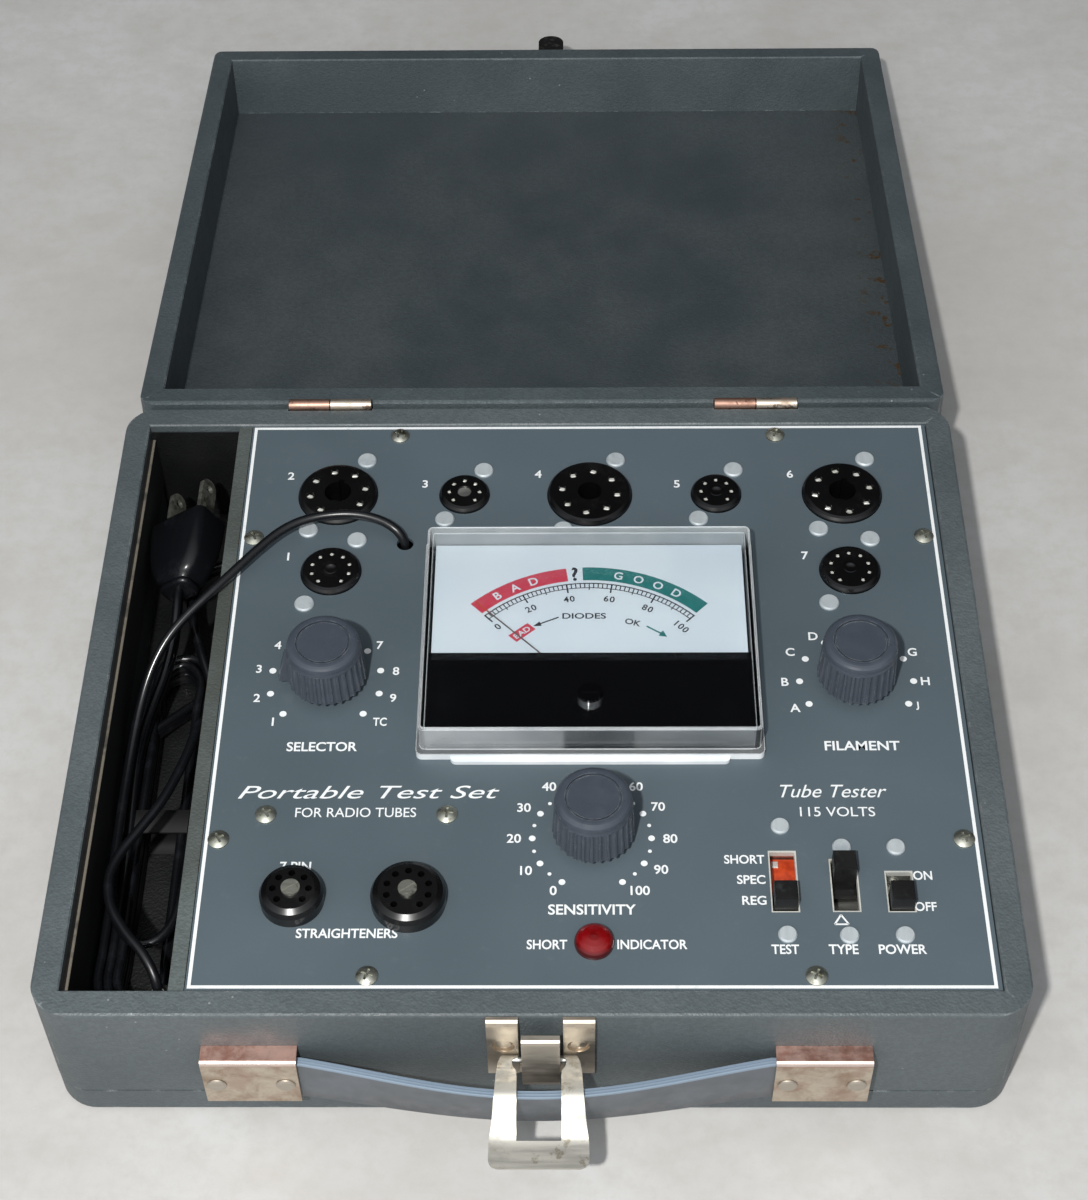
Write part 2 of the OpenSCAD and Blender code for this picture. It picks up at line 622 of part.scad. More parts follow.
module hinge_lid_leaves() {
  color([0.75, 0.74, 0.7]) lid_place() for (x = hinge_x) translate([x, 0, 0]) {
    difference() {
      union() {
        translate([-13.3, lid_back - 0.8, rim + 2.6]) cube([26.6, 0.8, 7]);
        translate([0.2, lid_back - 0.8, rim + 0.5]) cube([13.1, 0.8, 2.4]);
        translate([0.2, lid_back - 0.8, rim + 0.5]) cube([13.1, 1.6, 1]);
        translate([0.2, ax_y, ax_z]) rotate([0, 90, 0]) cylinder(r = 1.9, h = 13.1);
      }
      translate([-1, ax_y, ax_z]) rotate([0, 90, 0]) cylinder(r = 0.97, h = 16);
      for (k = [-9, 9]) translate([k, lid_back - 2, rim + 6.2]) rotate([-90, 0, 0]) cylinder(r = 1.3, h = 3);
    }
    for (k = [-9, 9]) translate([k, lid_back - 5.8, rim + 6.2]) rotate([-90, 0, 0]) {
      cylinder(r = 1, h = 5);
      translate([0, 0, 5]) cylinder(r = 1.3, h = 0.9);
    }
  }
}

// ---- lid ----
module lid_side(side) {
  d = lid_back - lid_front;
  color([0.26, 0.29, 0.3]) translate([lid_cx, (lid_back + lid_front) / 2, 0])
    board(lid_w, d, 7.6, lid_corner, rim + gap, rim + gap + lid_h - lid_top_t, side, 0.9, 0.01);
}
module lid_front_wall() { lid_place() lid_side("front"); }
// its outer face is planed back towards the top board, so that the lid can open past level
module lid_back_wall() {
  lid_place() difference() {
    lid_side("back");
    mortises(lid_back, rim - 0.4);
    translate([-hx, lid_back, rim + gap]) rotate([90, 0, 90]) linear_extrude(case_w + 4)
      polygon([[0.5, 10], [0, 15], [-bevel, lid_h - lid_top_t], [-bevel, lid_h + 1], [2, lid_h + 1]]);
  }
}
module lid_left_wall() { lid_place() lid_side("left"); }
module lid_right_wall() { lid_place() lid_side("right"); }

module lid_board() {
  d = lid_back - bevel - lid_front;
  z0 = rim + gap + lid_h - lid_top_t;
  color([0.26, 0.29, 0.3]) lid_place() translate([lid_cx, lid_front + d / 2, z0]) {
    for (k = [0:5]) {
      in = k == 0 ? 0 : lid_r * (1 - cos(k * 15 + 7));
      linear_extrude(lid_top_t - lid_r + lid_r * sin(k * 15 + 15))
        rounded(lid_w - 2 * in, d - 2 * in, lid_corner - in);
    }
  }
}

// rounded hook the latch's bail pulls on, with a lip round its end
module lid_catch() {
  y = lid_front;
  z = rim + gap;
  color([0.05, 0.05, 0.05]) lid_place() translate([latch_x + 0.4, y, 0]) {
    difference() {
      translate([0, 0, z + 0.6]) linear_extrude(3.2) union() {
        translate([-4.9, -6]) square([9.8, 5.98]);
        translate([0, -6]) circle(4.9);
      }
      translate([0, 0, z + 2.2]) linear_extrude(3) union() {
        translate([-6, -6]) square([12, 4.6]);
        translate([0, -6]) circle(3.7);
      }
    }
    translate([-4.9, -1.4, z + 0.6]) cube([9.8, 1.38, 17]);
  }
}

// ---- latch ----
module latch_plate() {
  y = -hy;
  color([0.7, 0.66, 0.58]) translate([latch_x, 0, 0]) union() {
    difference() {
      translate([-14.4, y - 0.9, 24.2]) cube([28.8, 0.89, 28.4]);
      translate([-5.9, y - 3, 29]) cube([11.8, 5, 26]);
      for (s = [-1, 1]) translate([s * 10, y - 3, 40.6]) rotate([-90, 0, 0]) cylinder(r = 1.7, h = 5);
    }
    for (s = [-1, 1]) difference() {
      translate([s * 10.2 - 4.2, 0, 0]) rotate([90, 0, 90]) linear_extrude(8.4)
        polygon([[y - 0.85, 24.4], [y - 1.6, 25], [y - 2, 26.4], [y - 2.1, 38], [y - 2, 50.6], [y - 1.6, 51.9],
                 [y - 0.85, 52.5]]);
      translate([s * 10, y - 3, 40.6]) rotate([-90, 0, 0]) cylinder(r = 3, h = 5);
    }
    translate([-5.1, 0, 0]) rotate([90, 0, 90]) linear_extrude(10.2)
      polygon([[y - 0.6, 30.4], [y - 0.1, 29.6], [y - 0.3, 27.6], [y - 1.2, 25.9], [y - 2.8, 24.9],
               [y - 4.6, 25.2], [y - 6, 26.8], [y - 6.6, 29.2], [y - 6.6, 48.8], [y - 6.3, 49.8],
               [y - 5.6, 50.2], [y - 4.2, 50.2], [y - 4.2, 49.2], [y - 5.3, 49.1], [y - 5.6, 48.6],
               [y - 5.6, 29.4], [y - 5.1, 27.6], [y - 4, 26.3], [y - 2.8, 26], [y - 1.7, 26.8],
               [y - 1.1, 28.2], [y - 1.3, 30]]);
  }
}

// sheet metal bail, lying out over the strap; closed it swings up to the catch
module latch_bail() {
  t = 1.2;
  // points along the side profile, outward and up from the pivot
  p0 = [bail_y, bail_z];
  prof = [[bail_y + 0.8, bail_z - 0.6], [bail_y - 8, bail_z + 0.6], [bail_y - 11.6, bail_z + 0.4],
          [bail_y - 20.2, bail_z - 6], [bail_y - 28.3, bail_z - 6.4],
          [bail_y - 28.3, bail_z - 5.2], [bail_y - 19.8, bail_z - 4.8], [bail_y - 11.2, bail_z + 1.6],
          [bail_y - 8, bail_z + 1.8], [bail_y + 0.8, bail_z + 0.6]];
  color([0.78, 0.76, 0.68]) translate([latch_x - 0.5, 0, 0]) union() {
    intersection() {
      translate([-16, 0, 0]) rotate([90, 0, 90]) linear_extrude(32) polygon(prof);
      translate([0, bail_y, 0]) linear_extrude(100) difference() {
        polygon([[-10.4, 0.8], [-11.2, -3], [-12.8, -19], [-13.3, -22], [-13.3, -26.4], [-12.8, -27.7],
                 [-11.6, -28.3], [11.6, -28.3], [12.8, -27.7], [13.3, -26.4], [13.3, -22], [12.8, -19],
                 [11.2, -3], [10.4, 0.8]]);
        translate([-5.8, -20.9]) square([12, 23]);
      }
    }
    for (s = [-1, 1]) translate([s * 6.1, bail_y, bail_z]) rotate([0, 90, 0])
      cylinder(r = 0.85, h = 6.4, center = true, $fn = 24);
  }
}

// ---- handle ----
module handle_brackets() {
  y = -hy;
  color([0.68, 0.6, 0.52]) for (x = bracket_x)
    translate([x - bracket_w / 2, 0, 0]) rotate([90, 0, 90]) linear_extrude(bracket_w)
      polygon([[y - 0.02, 37.2], [y - 4.6, 37.2], [y - 5.3, 36.9], [y - 5.6, 36.2], [y - 5.7, 16.8],
               [y - 4.9, 16.6], [y - 4.8, 36], [y - 4.5, 36.4], [y - 0.02, 36.4]]);
}

// strap bowed away from the case between its two brackets
module handle_strap() {
  y = -hy;
  far = 13.1;
  near = 4.5;
  mid = (bracket_x[0] + bracket_x[1]) / 2;
  half = (bracket_x[1] - bracket_x[0]) / 2;
  function bow(x) = near + (far - near) * (0.75 * cos(x / 0.7) + 0.125 * (1 + cos(x / 0.35)));
  xs = [for (x = [-63:4.5:63]) x];
  n = len(xs);
  color([0.4, 0.42, 0.45]) translate([mid, 0, strap_z[0]]) linear_extrude(strap_z[1] - strap_z[0])
    polygon(concat([[-half - 12.4, y - near]], [for (i = [0:n - 1]) [xs[i], y - bow(xs[i])]],
                   [[half + 12.4, y - near], [half + 12.4, y - near + 2.4]],
                   [for (i = [n - 1:-1:0]) [xs[i], y - bow(xs[i]) + 2.4]],
                   [[-half - 12.4, y - near + 2.4]]));
}

// rivets of the brackets and of the latch plate
module front_rivets() {
  color([0.72, 0.7, 0.62]) {
    for (x = bracket_x, s = [-1, 1]) translate([x + s * 9.3, -hy - 5.72, 26]) rotate([90, 0, 0])
      rotate_extrude() polygon([[0, 0], [2.7, 0], [2.6, 0.35], [2.1, 0.62], [0, 0.7]]);
    for (s = [-1, 1]) translate([latch_x + s * 10, -hy, 40.6]) rotate([90, 0, 0])
      rotate_extrude() polygon([[0, -5], [1.5, -5], [1.5, 0.9], [2.6, 0.9], [2.1, 1.5], [0, 1.8]]);
  }
}

// ---- cords ----
module cap_lead() {
  end = lead_pts[len(lead_pts) - 1];
  color([0.03, 0.03, 0.035]) {
    sweep(lead_pts, lead_d, lead_d);
    translate([-102.4, -94.6, 24]) difference() {
      cylinder(r = 5, h = 9.4);
      translate([0, 0, -1]) cylinder(r = 3.6, h = 8.6);
      translate([0, -3, 2.5]) cube([1.6, 8, 9], center = true);
    }
  }
}

// mains cord: outlet bush, first length, tied hank, and the last length up to the plug
module power_cord() {
  color([0.03, 0.03, 0.035]) {
    translate([div_x - 1.4, exit_at[1], exit_at[2]]) rotate([0, 90, 0]) difference() {
      union() {
        cylinder(r = 4.1, h = div_t + 2);
        cylinder(r = 5.2, h = 1.3);
      }
      translate([0, 0, -1]) cylinder(r = 3.2, h = div_t + 4);
    }
    sweep(tail_pts, cord_t, cord_w);
    sweep(lift_pts, cord_t, cord_w);
    translate([hank_c[0], hank_c[1], hank_z[0]]) linear_extrude(hank_z[1] - hank_z[0]) difference() {
      racetrack(hank_w, hank_l);
      racetrack(hank_w - 2 * hank_t, hank_l - 2 * hank_t);
    }
  }
}

module racetrack(w, l) {
  square([w, l - w], center = true);
  for (s = [-1, 1]) translate([0, s * (l - w) / 2]) circle(w / 2);
}

module power_plug() {
  color([0.04, 0.04, 0.045]) translate(plug_at) rotate([0, -33, 0]) {
    difference() {
      union() {
        translate([-11, 4, -7]) cube([22, 24, 14]);
        translate([-7.5, 0, -5.5]) cube([15, 4, 11]);
      }
      translate([0, -1, 0]) rotate([-90, 0, 0]) cylinder(r = 3.2, h = 3.4);
    }
    for (x = [-6.35, 6.35]) translate([x - 0.75, 28, 0]) rotate([90, 0, 90]) linear_extrude(1.5) difference() {
      union() {
        translate([-0.01, -3.15]) square([12.9, 6.3]);
        translate([12.9, 0]) circle(3.15);
      }
      translate([12.2, 0]) circle(1.5);
    }
  }
}

// ---- selection ----
base_front_wall();
base_back_wall();
base_left_wall();
base_right_wall();
bottom_board();
divider();
panel_cleats();
panel_plate();
panel_screws();
transformer();
transformer_screws();
octal_socket_2();
miniature_socket_3();
loctal_socket_4();
miniature_socket_5();
octal_socket_6();
noval_socket_7();
noval_socket_1();
socket_rivets();
socket_contacts();
pin_straighteners();
straightener_screws();
meter_body();
meter_cover();
meter_mask();
meter_dial();
meter_movement();
meter_needle();
meter_zero_screw();
rotary_controls();
control_nuts();
control_shaft_1();
control_shaft_2();
control_shaft_3();
selector_knob();
filament_knob();
sensitivity_knob();
slide_switches();
switch_rivets();
test_slider();
type_slider();
power_slider();
lamp_holder();
lamp_jewel();
hinge_base_leaves();
hinge_lid_leaves();
lid_front_wall();
lid_back_wall();
lid_left_wall();
lid_right_wall();
lid_board();
lid_catch();
latch_plate();
latch_bail();
handle_brackets();
handle_strap();
front_rivets();
cap_lead();
power_cord();
power_plug();
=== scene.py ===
import bpy
import bmesh
import math
import random
from mathutils import Matrix, Vector


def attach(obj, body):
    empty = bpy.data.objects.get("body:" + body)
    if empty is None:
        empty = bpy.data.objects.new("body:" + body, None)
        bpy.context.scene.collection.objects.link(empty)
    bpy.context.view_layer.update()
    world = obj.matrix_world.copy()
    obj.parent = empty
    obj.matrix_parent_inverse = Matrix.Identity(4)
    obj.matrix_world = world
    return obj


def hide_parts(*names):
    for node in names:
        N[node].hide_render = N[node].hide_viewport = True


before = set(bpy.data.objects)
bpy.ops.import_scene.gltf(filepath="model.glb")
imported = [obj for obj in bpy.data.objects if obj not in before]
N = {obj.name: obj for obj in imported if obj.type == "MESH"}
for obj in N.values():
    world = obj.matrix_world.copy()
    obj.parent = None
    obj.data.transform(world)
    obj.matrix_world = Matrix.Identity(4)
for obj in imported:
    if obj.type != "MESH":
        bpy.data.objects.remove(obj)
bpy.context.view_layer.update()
MM = 0.001
PZ = 52.0                      # top face of the panel, in mm


def rgb(r, g, b):
    """sRGB 0-255 to linear."""
    return tuple(c / 12.92 if c <= 0.04045 else ((c + 0.055) / 1.055) ** 2.4
                 for c in (r / 255, g / 255, b / 255))


# ---------------------------------------------------------------- camera, light
cam = bpy.data.objects.new("camera", bpy.data.cameras.new("camera"))
bpy.context.scene.collection.objects.link(cam)
cam.location = (0.0118, -0.4127, 0.5822)
cam.rotation_euler = [math.radians(a) for a in (39.928, 0.662, 0.384)]
cam.data.sensor_width = 36
cam.data.lens = 68.54
cam.data.clip_start = 0.02
bpy.context.scene.camera = cam
bpy.context.scene.view_settings.view_transform = "Standard"


def area(name, at, to, size, power, colour=(1, 1, 1)):
    lamp = bpy.data.lights.new(name, "AREA")
    lamp.shape = "DISK"
    lamp.size = size
    lamp.energy = power
    lamp.color = colour
    o = bpy.data.objects.new(name, lamp)
    bpy.context.scene.collection.objects.link(o)
    o.location = at
    o.rotation_euler = (Vector(to) - Vector(at)).to_track_quat("-Z", "Y").to_euler()
    return o


area("key", (-0.13, -0.59, 0.87), (0, 0.02, 0), 0.035, 10.2, (1.0, 0.985, 0.955))
world = bpy.data.worlds.new("studio")
world.use_nodes = True
sky = world.node_tree
sky.nodes["Background"].inputs[0].default_value = (0.93, 0.96, 1.0, 1)
way = sky.nodes.new("ShaderNodeTexCoord")
dot = sky.nodes.new("ShaderNodeVectorMath")
dot.operation = "DOT_PRODUCT"
dot.inputs[1].default_value = (-0.1, -0.75, 0.65)
sky.links.new(way.outputs["Generated"], dot.inputs[0])
fade = sky.nodes.new("ShaderNodeMapRange")
for k, v in (("From Min", 0.1), ("From Max", 0.95), ("To Min", 0.02), ("To Max", 1.05)):
    fade.inputs[k].default_value = v
sky.links.new(dot.outputs["Value"], fade.inputs["Value"])
sky.links.new(fade.outputs[0], sky.nodes["Background"].inputs[1])
bpy.context.scene.world = world


# ---------------------------------------------------------------- materials
class Mat:
    """A Principled material with short names for the nodes it needs."""

    def __init__(self, name, colour, rough=0.5, metal=0.0, **sockets):
        self.mat = bpy.data.materials.new(name)
        self.mat.use_nodes = True
        self.tree = self.mat.node_tree
        self.p = self.tree.nodes["Principled BSDF"]
        self.set("Base Color", colour)
        self.set("Roughness", rough)
        self.set("Metallic", metal)
        for k, v in sockets.items():
            self.set(k.replace("_", " "), v)
        self.co = self.node("ShaderNodeTexCoord").outputs["Object"]

    def node(self, kind, **props):
        n = self.tree.nodes.new(kind)
        for k, v in props.items():
            setattr(n, k, v)
        return n

    def put(self, socket, value):
        if isinstance(value, bpy.types.NodeSocket):
            self.tree.links.new(value, socket)
        elif isinstance(value, tuple) and len(value) == 3 and len(socket.default_value) == 4:
            socket.default_value = (*value, 1)
        else:
            socket.default_value = value

    def set(self, name, value):
        self.put(self.p.inputs[name], value)

    def stretch(self, sx, sy, sz):
        n = self.node("ShaderNodeMapping")
        n.inputs["Scale"].default_value = (sx, sy, sz)
        self.put(n.inputs["Vector"], self.co)
        return n.outputs[0]

    def noise(self, scale, detail=2.0, rough=0.5, vec=None, warp=0.0):
        n = self.node("ShaderNodeTexNoise")
        self.put(n.inputs["Vector"], vec or self.co)
        n.inputs["Scale"].default_value = scale
        n.inputs["Detail"].default_value = detail
        n.inputs["Roughness"].default_value = rough
        n.inputs["Distortion"].default_value = warp
        return n.outputs["Fac"]

    def cells(self, scale, vec=None, feature="F1", out="Distance"):
        n = self.node("ShaderNodeTexVoronoi", feature=feature)
        self.put(n.inputs["Vector"], vec or self.co)
        n.inputs["Scale"].default_value = scale
        return n.outputs[out]

    def span(self, value, a, b, lo=0.0, hi=1.0, soft=True):
        n = self.node("ShaderNodeMapRange", interpolation_type="SMOOTHSTEP" if soft else "LINEAR")
        self.put(n.inputs["Value"], value)
        for k, v in (("From Min", a), ("From Max", b), ("To Min", lo), ("To Max", hi)):
            n.inputs[k].default_value = v
        return n.outputs[0]

    def math(self, op, a, b=0.0):
        n = self.node("ShaderNodeMath", operation=op)
        self.put(n.inputs[0], a)
        self.put(n.inputs[1], b)
        return n.outputs[0]

    def mix(self, fac, a, b):
        n = self.node("ShaderNodeMix", data_type="RGBA")
        self.put(n.inputs["Factor"], fac)
        self.put(n.inputs[6], a)
        self.put(n.inputs[7], b)
        return n.outputs[2]

    def axis(self, i):
        n = self.node("ShaderNodeSeparateXYZ")
        self.put(n.inputs[0], self.co)
        return n.outputs[i]

    def bump(self, height, distance, strength=1.0):
        n = self.node("ShaderNodeBump")
        n.inputs["Strength"].default_value = strength
        n.inputs["Distance"].default_value = distance
        self.put(n.inputs["Height"], height)
        if self.p.inputs["Normal"].is_linked:
            self.put(n.inputs["Normal"], self.p.inputs["Normal"].links[0].from_socket)
        self.set("Normal", n.outputs[0])

    def near(self, x, y, z):
        """Distance in metres from a point given in mm."""
        n = self.node("ShaderNodeVectorMath", operation="DISTANCE")
        self.put(n.inputs[0], self.co)
        n.inputs[1].default_value = (x * MM, y * MM, z * MM)
        return n.outputs["Value"]

    def upright(self):
        """1 on vertical faces, 0 on level ones."""
        g = self.node("ShaderNodeNewGeometry")
        n = self.node("ShaderNodeSeparateXYZ")
        self.put(n.inputs[0], g.outputs["True Normal"])
        return self.math("SUBTRACT", 1.0, self.math("ABSOLUTE", n.outputs[2]))

    def edge(self, radius, lo=0.02, hi=0.25):
        """1 on sharp outer edges, 0 on flats."""
        b = self.node("ShaderNodeBevel", samples=4)
        b.inputs["Radius"].default_value = radius
        g = self.node("ShaderNodeNewGeometry")
        d = self.node("ShaderNodeVectorMath", operation="DOT_PRODUCT")
        self.put(d.inputs[0], b.outputs[0])
        self.put(d.inputs[1], g.outputs["True Normal"])
        return self.span(self.math("SUBTRACT", 1.0, d.outputs["Value"]), lo, hi)


def dress(mat, *names):
    for n in names:
        slots = N[n].data.materials
        slots.clear()
        slots.append(mat.mat)


def pebbled(name, base, light, dark, wear_colour, rough=0.5):
    """Painted board with the fine pebbled skin of a covered case."""
    m = Mat(name, base, rough)
    broad = m.noise(14, 3, 0.6)
    fine = m.noise(650, 3, 0.65)
    c = m.mix(m.span(broad, 0.35, 0.68), dark, light)
    c = m.mix(m.span(fine, 0.38, 0.62, 0.0, 0.28), c, tuple(0.55 * x for x in base))
    edge = m.edge(0.0011, 0.03, 0.3)
    worn = m.math("MULTIPLY", edge, m.span(m.noise(160, 4, 0.7), 0.48, 0.66, 0.0, 0.75))
    c = m.mix(worn, c, wear_colour)
    specks = m.span(m.cells(210), 0.04, 0.09, 0.55, 0.0)
    specks = m.math("MULTIPLY", specks, m.span(m.noise(30, 2), 0.55, 0.66))
    c = m.mix(specks, c, wear_colour)
    m.set("Base Color", c)
    m.set("Roughness", m.span(m.noise(55, 3), 0.3, 0.7, rough - 0.06, rough + 0.1))
    m.bump(m.math("ADD", m.noise(900, 2, 0.6), m.math("MULTIPLY", m.cells(1300), 0.7)), 0.00016, 0.8)
    return m


case = pebbled("case paint with painted bay shade", rgb(80, 88, 91), rgb(85, 93, 96), rgb(74, 82, 85), rgb(160, 166, 166))
# inside the cord bay, within its walls and below 49.5 mm, the case colour is painted nearly black: painted
# shade
bay_painted_shade = case.span(case.math("ABSOLUTE", case.math("ADD", case.axis(0), 0.11075)), 0.0143, 0.0147, 1.0, 0.0)
bay_painted_shade = case.math("MULTIPLY", bay_painted_shade, case.span(case.math("ABSOLUTE", case.axis(1)), 0.1043, 0.1047, 1.0,
                                               0.0))
bay_painted_shade = case.math("MULTIPLY", bay_painted_shade, case.span(case.axis(2), 0.0495, 0.0505, 1.0, 0.0))
case.set("Base Color", case.mix(bay_painted_shade, case.p.inputs["Base Color"].links[0].from_socket, rgb(12, 13, 14)))
# the lid's paint and its lining are darker copies of the case paint: painted shade, as the lid lies farther
# from the lamp
lid_paint = pebbled("lid paint darkened as painted shade", rgb(71, 80, 83), rgb(76, 85, 88), rgb(65, 74, 78), rgb(150, 158, 160))
inside = pebbled("lid lining paint darkened as painted shade", rgb(64, 71, 73), rgb(68, 75, 77), rgb(57, 65, 69), rgb(60, 56, 46))
stain = inside.math("MULTIPLY", inside.span(inside.axis(0), 0.112, 0.122),
                    inside.span(inside.noise(150, 4, 0.7), 0.56, 0.62))
inside.set("Base Color", inside.mix(stain, inside.p.inputs["Base Color"].links[0].from_socket,
                                    rgb(66, 50, 32)))
bay = pebbled("compartment paint with painted shade", rgb(78, 86, 85), rgb(88, 97, 96), rgb(66, 70, 66), rgb(70, 58, 40))
# below the divider's top the colour goes near black: painted shade inside the bay
low = bay.span(bay.axis(2), 0.0485, 0.0515)
bay.set("Base Color", bay.mix(low, rgb(26, 29, 30), bay.p.inputs["Base Color"].links[0].from_socket))

panel = Mat("panel enamel", rgb(78, 90, 97), 0.42)
c = panel.mix(panel.span(panel.noise(9, 3), 0.3, 0.7), rgb(74, 86, 92), rgb(81, 93, 100))
c = panel.mix(panel.span(panel.noise(300, 3, 0.7), 0.6, 0.75, 0, 0.12), c, rgb(108, 118, 122))
panel.set("Base Color", c)
panel.set("Roughness", panel.span(panel.noise(40, 4), 0.3, 0.7, 0.36, 0.5))
panel.bump(panel.noise(500, 2), 0.00003, 0.5)

ink = Mat("white lettering", rgb(226, 229, 230), 0.5)
ink.set("Base Color", ink.mix(ink.span(ink.noise(400, 3), 0.55, 0.8, 0, 0.35), rgb(226, 229, 230),
                              rgb(170, 178, 182)))


def metal(name, colour, rough, dull, spots=0.4, grain=(60, 600, 600), freq=1.0, tarnish=None):
    m = Mat(name, colour, rough, 1.0)
    t = m.span(m.noise(90 * freq, 5, 0.65, warp=0.4), 0.5 - 0.12 * spots, 0.78, 0, 0.85)
    c = m.mix(t, colour, dull)
    if tarnish:
        c = m.mix(m.span(m.noise(240 * freq, 4, 0.7), 0.56, 0.66, 0, 0.8), c, tarnish)
    m.set("Base Color", c)
    m.set("Roughness", m.math("ADD", m.span(m.noise(1.0, 3, 0.6, vec=m.stretch(*grain)), 0.3, 0.7,
                                            rough - 0.05, rough + 0.1), m.math("MULTIPLY", t, 0.25)))
    m.bump(m.noise(700, 2), 0.00002, 0.4)
    return m


nickel = metal("nickel screws", rgb(166, 168, 158), 0.46, rgb(120, 122, 112), tarnish=rgb(96, 92, 78))
rivet = metal("plated rivets", rgb(196, 204, 208), 0.5, rgb(150, 160, 166), 0.5, grain=(900, 120, 120))
rivet.set("Metallic", 0.45)
spring = metal("bail nickel", rgb(196, 194, 186), 0.5, rgb(128, 127, 122), 0.5,
               tarnish=rgb(150, 142, 126), freq=0.7)
latch = metal("latch nickel", rgb(206, 195, 180), 0.38, rgb(150, 132, 110), 0.6, freq=0.6)
front = latch.span(latch.axis(1), -0.1146, -0.1142, 1.0, 0.0)
old = latch.p.inputs["Base Color"].links[0].from_socket
latch.set("Base Color", latch.mix(front, old, rgb(186, 178, 166)))
old = latch.p.inputs["Roughness"].links[0].from_socket
latch.set("Roughness", latch.math("ADD", old, latch.math("MULTIPLY", front, 0.08)))
copper = metal("bracket plating", rgb(206, 194, 178), 0.4, rgb(150, 128, 108), 0.9, freq=1.4)
old = copper.p.inputs["Base Color"].links[0].from_socket
blush = copper.math("MULTIPLY", copper.span(copper.noise(120, 4, 0.65), 0.45, 0.62), 0.5)
old = copper.mix(blush, old, rgb(168, 136, 120))
flange = copper.mix(copper.span(copper.noise(200, 4, 0.7), 0.4, 0.66), rgb(200, 166, 154),
                    rgb(172, 128, 114))
old = copper.mix(copper.span(copper.axis(2), 0.0352, 0.0362), old, flange)
# a light band painted along the bracket's top fold: painted highlight
fold_painted_highlight = copper.math("MULTIPLY", copper.span(copper.axis(2), 0.0358, 0.0362),
                   copper.span(copper.axis(1), -0.1168, -0.1165, 1.0, 0.0))
copper.set("Base Color", copper.mix(copper.math("MULTIPLY", fold_painted_highlight, 0.7), old, rgb(232, 222, 214)))
hinge_a = metal("hinge copper", rgb(176, 142, 126), 0.46, rgb(120, 84, 70), 0.8, tarnish=rgb(78, 52, 44),
                freq=1.4)
hinge_b = metal("hinge nickel", rgb(206, 194, 180), 0.44, rgb(160, 138, 118), 0.8,
                tarnish=rgb(96, 72, 58), freq=1.4)
brass = metal("brass", rgb(190, 160, 96), 0.32, rgb(140, 112, 66))
tin = metal("tinned metal", rgb(214, 214, 208), 0.34, rgb(170, 168, 156))
iron = metal("laminations", rgb(90, 88, 84), 0.5, rgb(60, 56, 50))


def plastic(name, colour, rough, dust, scale=120):
    m = Mat(name, colour, rough)
    d = m.span(m.noise(scale, 5, 0.7), 0.5, 0.8, 0, 0.5)
    m.set("Base Color", m.mix(d, colour, dust))
    m.set("Roughness", m.math("ADD", m.span(m.noise(scale * 0.4, 3), 0.3, 0.7, rough - 0.04,
                                            rough + 0.08), m.math("MULTIPLY", d, 0.3)))
    m.bump(m.noise(900, 2), 0.00001, 0.5)
    return m


phenolic = plastic("black phenolic", rgb(9, 9, 10), 0.22, rgb(24, 24, 25))
gloss = plastic("glossy black", rgb(5, 5, 7), 0.06, rgb(10, 11, 12), 60)
button = plastic("slider black", rgb(14, 14, 15), 0.4, rgb(52, 54, 54), 300)
jet = plastic("cord rubber", rgb(14, 15, 18), 0.24, rgb(34, 37, 42), 90)

knob = Mat("knob plastic", rgb(64, 70, 79), 0.3)
c = knob.mix(knob.span(knob.noise(160, 4, 0.65), 0.45, 0.75, 0, 0.5), rgb(60, 66, 75), rgb(72, 78, 87))
# lighter sharp edges of the flutes: partly rubbed wear, partly painted highlight
flute_wear_and_painted_highlight = knob.math("MULTIPLY", knob.edge(0.0004, 0.05, 0.4),
                 knob.span(knob.noise(420, 3), 0.42, 0.62, 0.1, 0.75))
knob.set("Base Color", knob.mix(flute_wear_and_painted_highlight, c, rgb(150, 156, 160)))
knob.set("Roughness", knob.span(knob.noise(200, 3), 0.3, 0.7, 0.26, 0.38))
knob.bump(knob.noise(900, 3), 0.00002, 0.6)

pale = Mat("dial paper", rgb(224, 233, 241), 0.6)
pale.set("Base Color", pale.mix(pale.span(pale.noise(30, 3), 0.3, 0.7), rgb(222, 231, 240),
                                rgb(230, 237, 243)))
red = Mat("dial red", rgb(206, 62, 84), 0.6)
green = Mat("dial green", rgb(30, 118, 116), 0.6)
black = Mat("dial black", rgb(36, 38, 44), 0.6)
for m, a, b in ((red, rgb(206, 60, 82), rgb(214, 84, 100)), (green, rgb(28, 116, 114), rgb(44, 130, 126)),
                (black, rgb(34, 36, 42), rgb(60, 62, 68))):
    m.set("Base Color", m.mix(m.span(m.noise(500, 3), 0.45, 0.7, 0, 0.6), a, b))
wood = Mat("cleat wood", rgb(176, 146, 104), 0.65)
wood.set("Base Color", wood.mix(wood.span(wood.noise(1.0, 4, 0.6, vec=wood.stretch(20, 500, 500)), 0.35,
                                          0.65), rgb(186, 156, 112), rgb(142, 110, 72)))
fibre = Mat("red fibre", rgb(190, 66, 26), 0.45)
fibre.set("Base Color", fibre.mix(fibre.span(fibre.noise(400, 3), 0.4, 0.7), rgb(196, 70, 28),
                                  rgb(160, 50, 18)))
needle = Mat("needle lacquer", rgb(40, 34, 36), 0.4)
far = needle.span(needle.near(16.3, -11.2, 58), 0.043, 0.046)
needle.set("Base Color", needle.mix(far, needle.mix(needle.span(needle.noise(300, 2), 0.4, 0.7),
                                                    rgb(92, 84, 84), rgb(120, 106, 104)), rgb(206, 84, 52)))
# the catch is coloured near black with lighter mottling
dark = Mat("catch near black", rgb(24, 24, 24), 0.4)
dark.set("Base Color", dark.mix(dark.span(dark.noise(300, 4, 0.7), 0.5, 0.7, 0, 0.7), rgb(22, 22, 23),
                                rgb(84, 80, 74)))

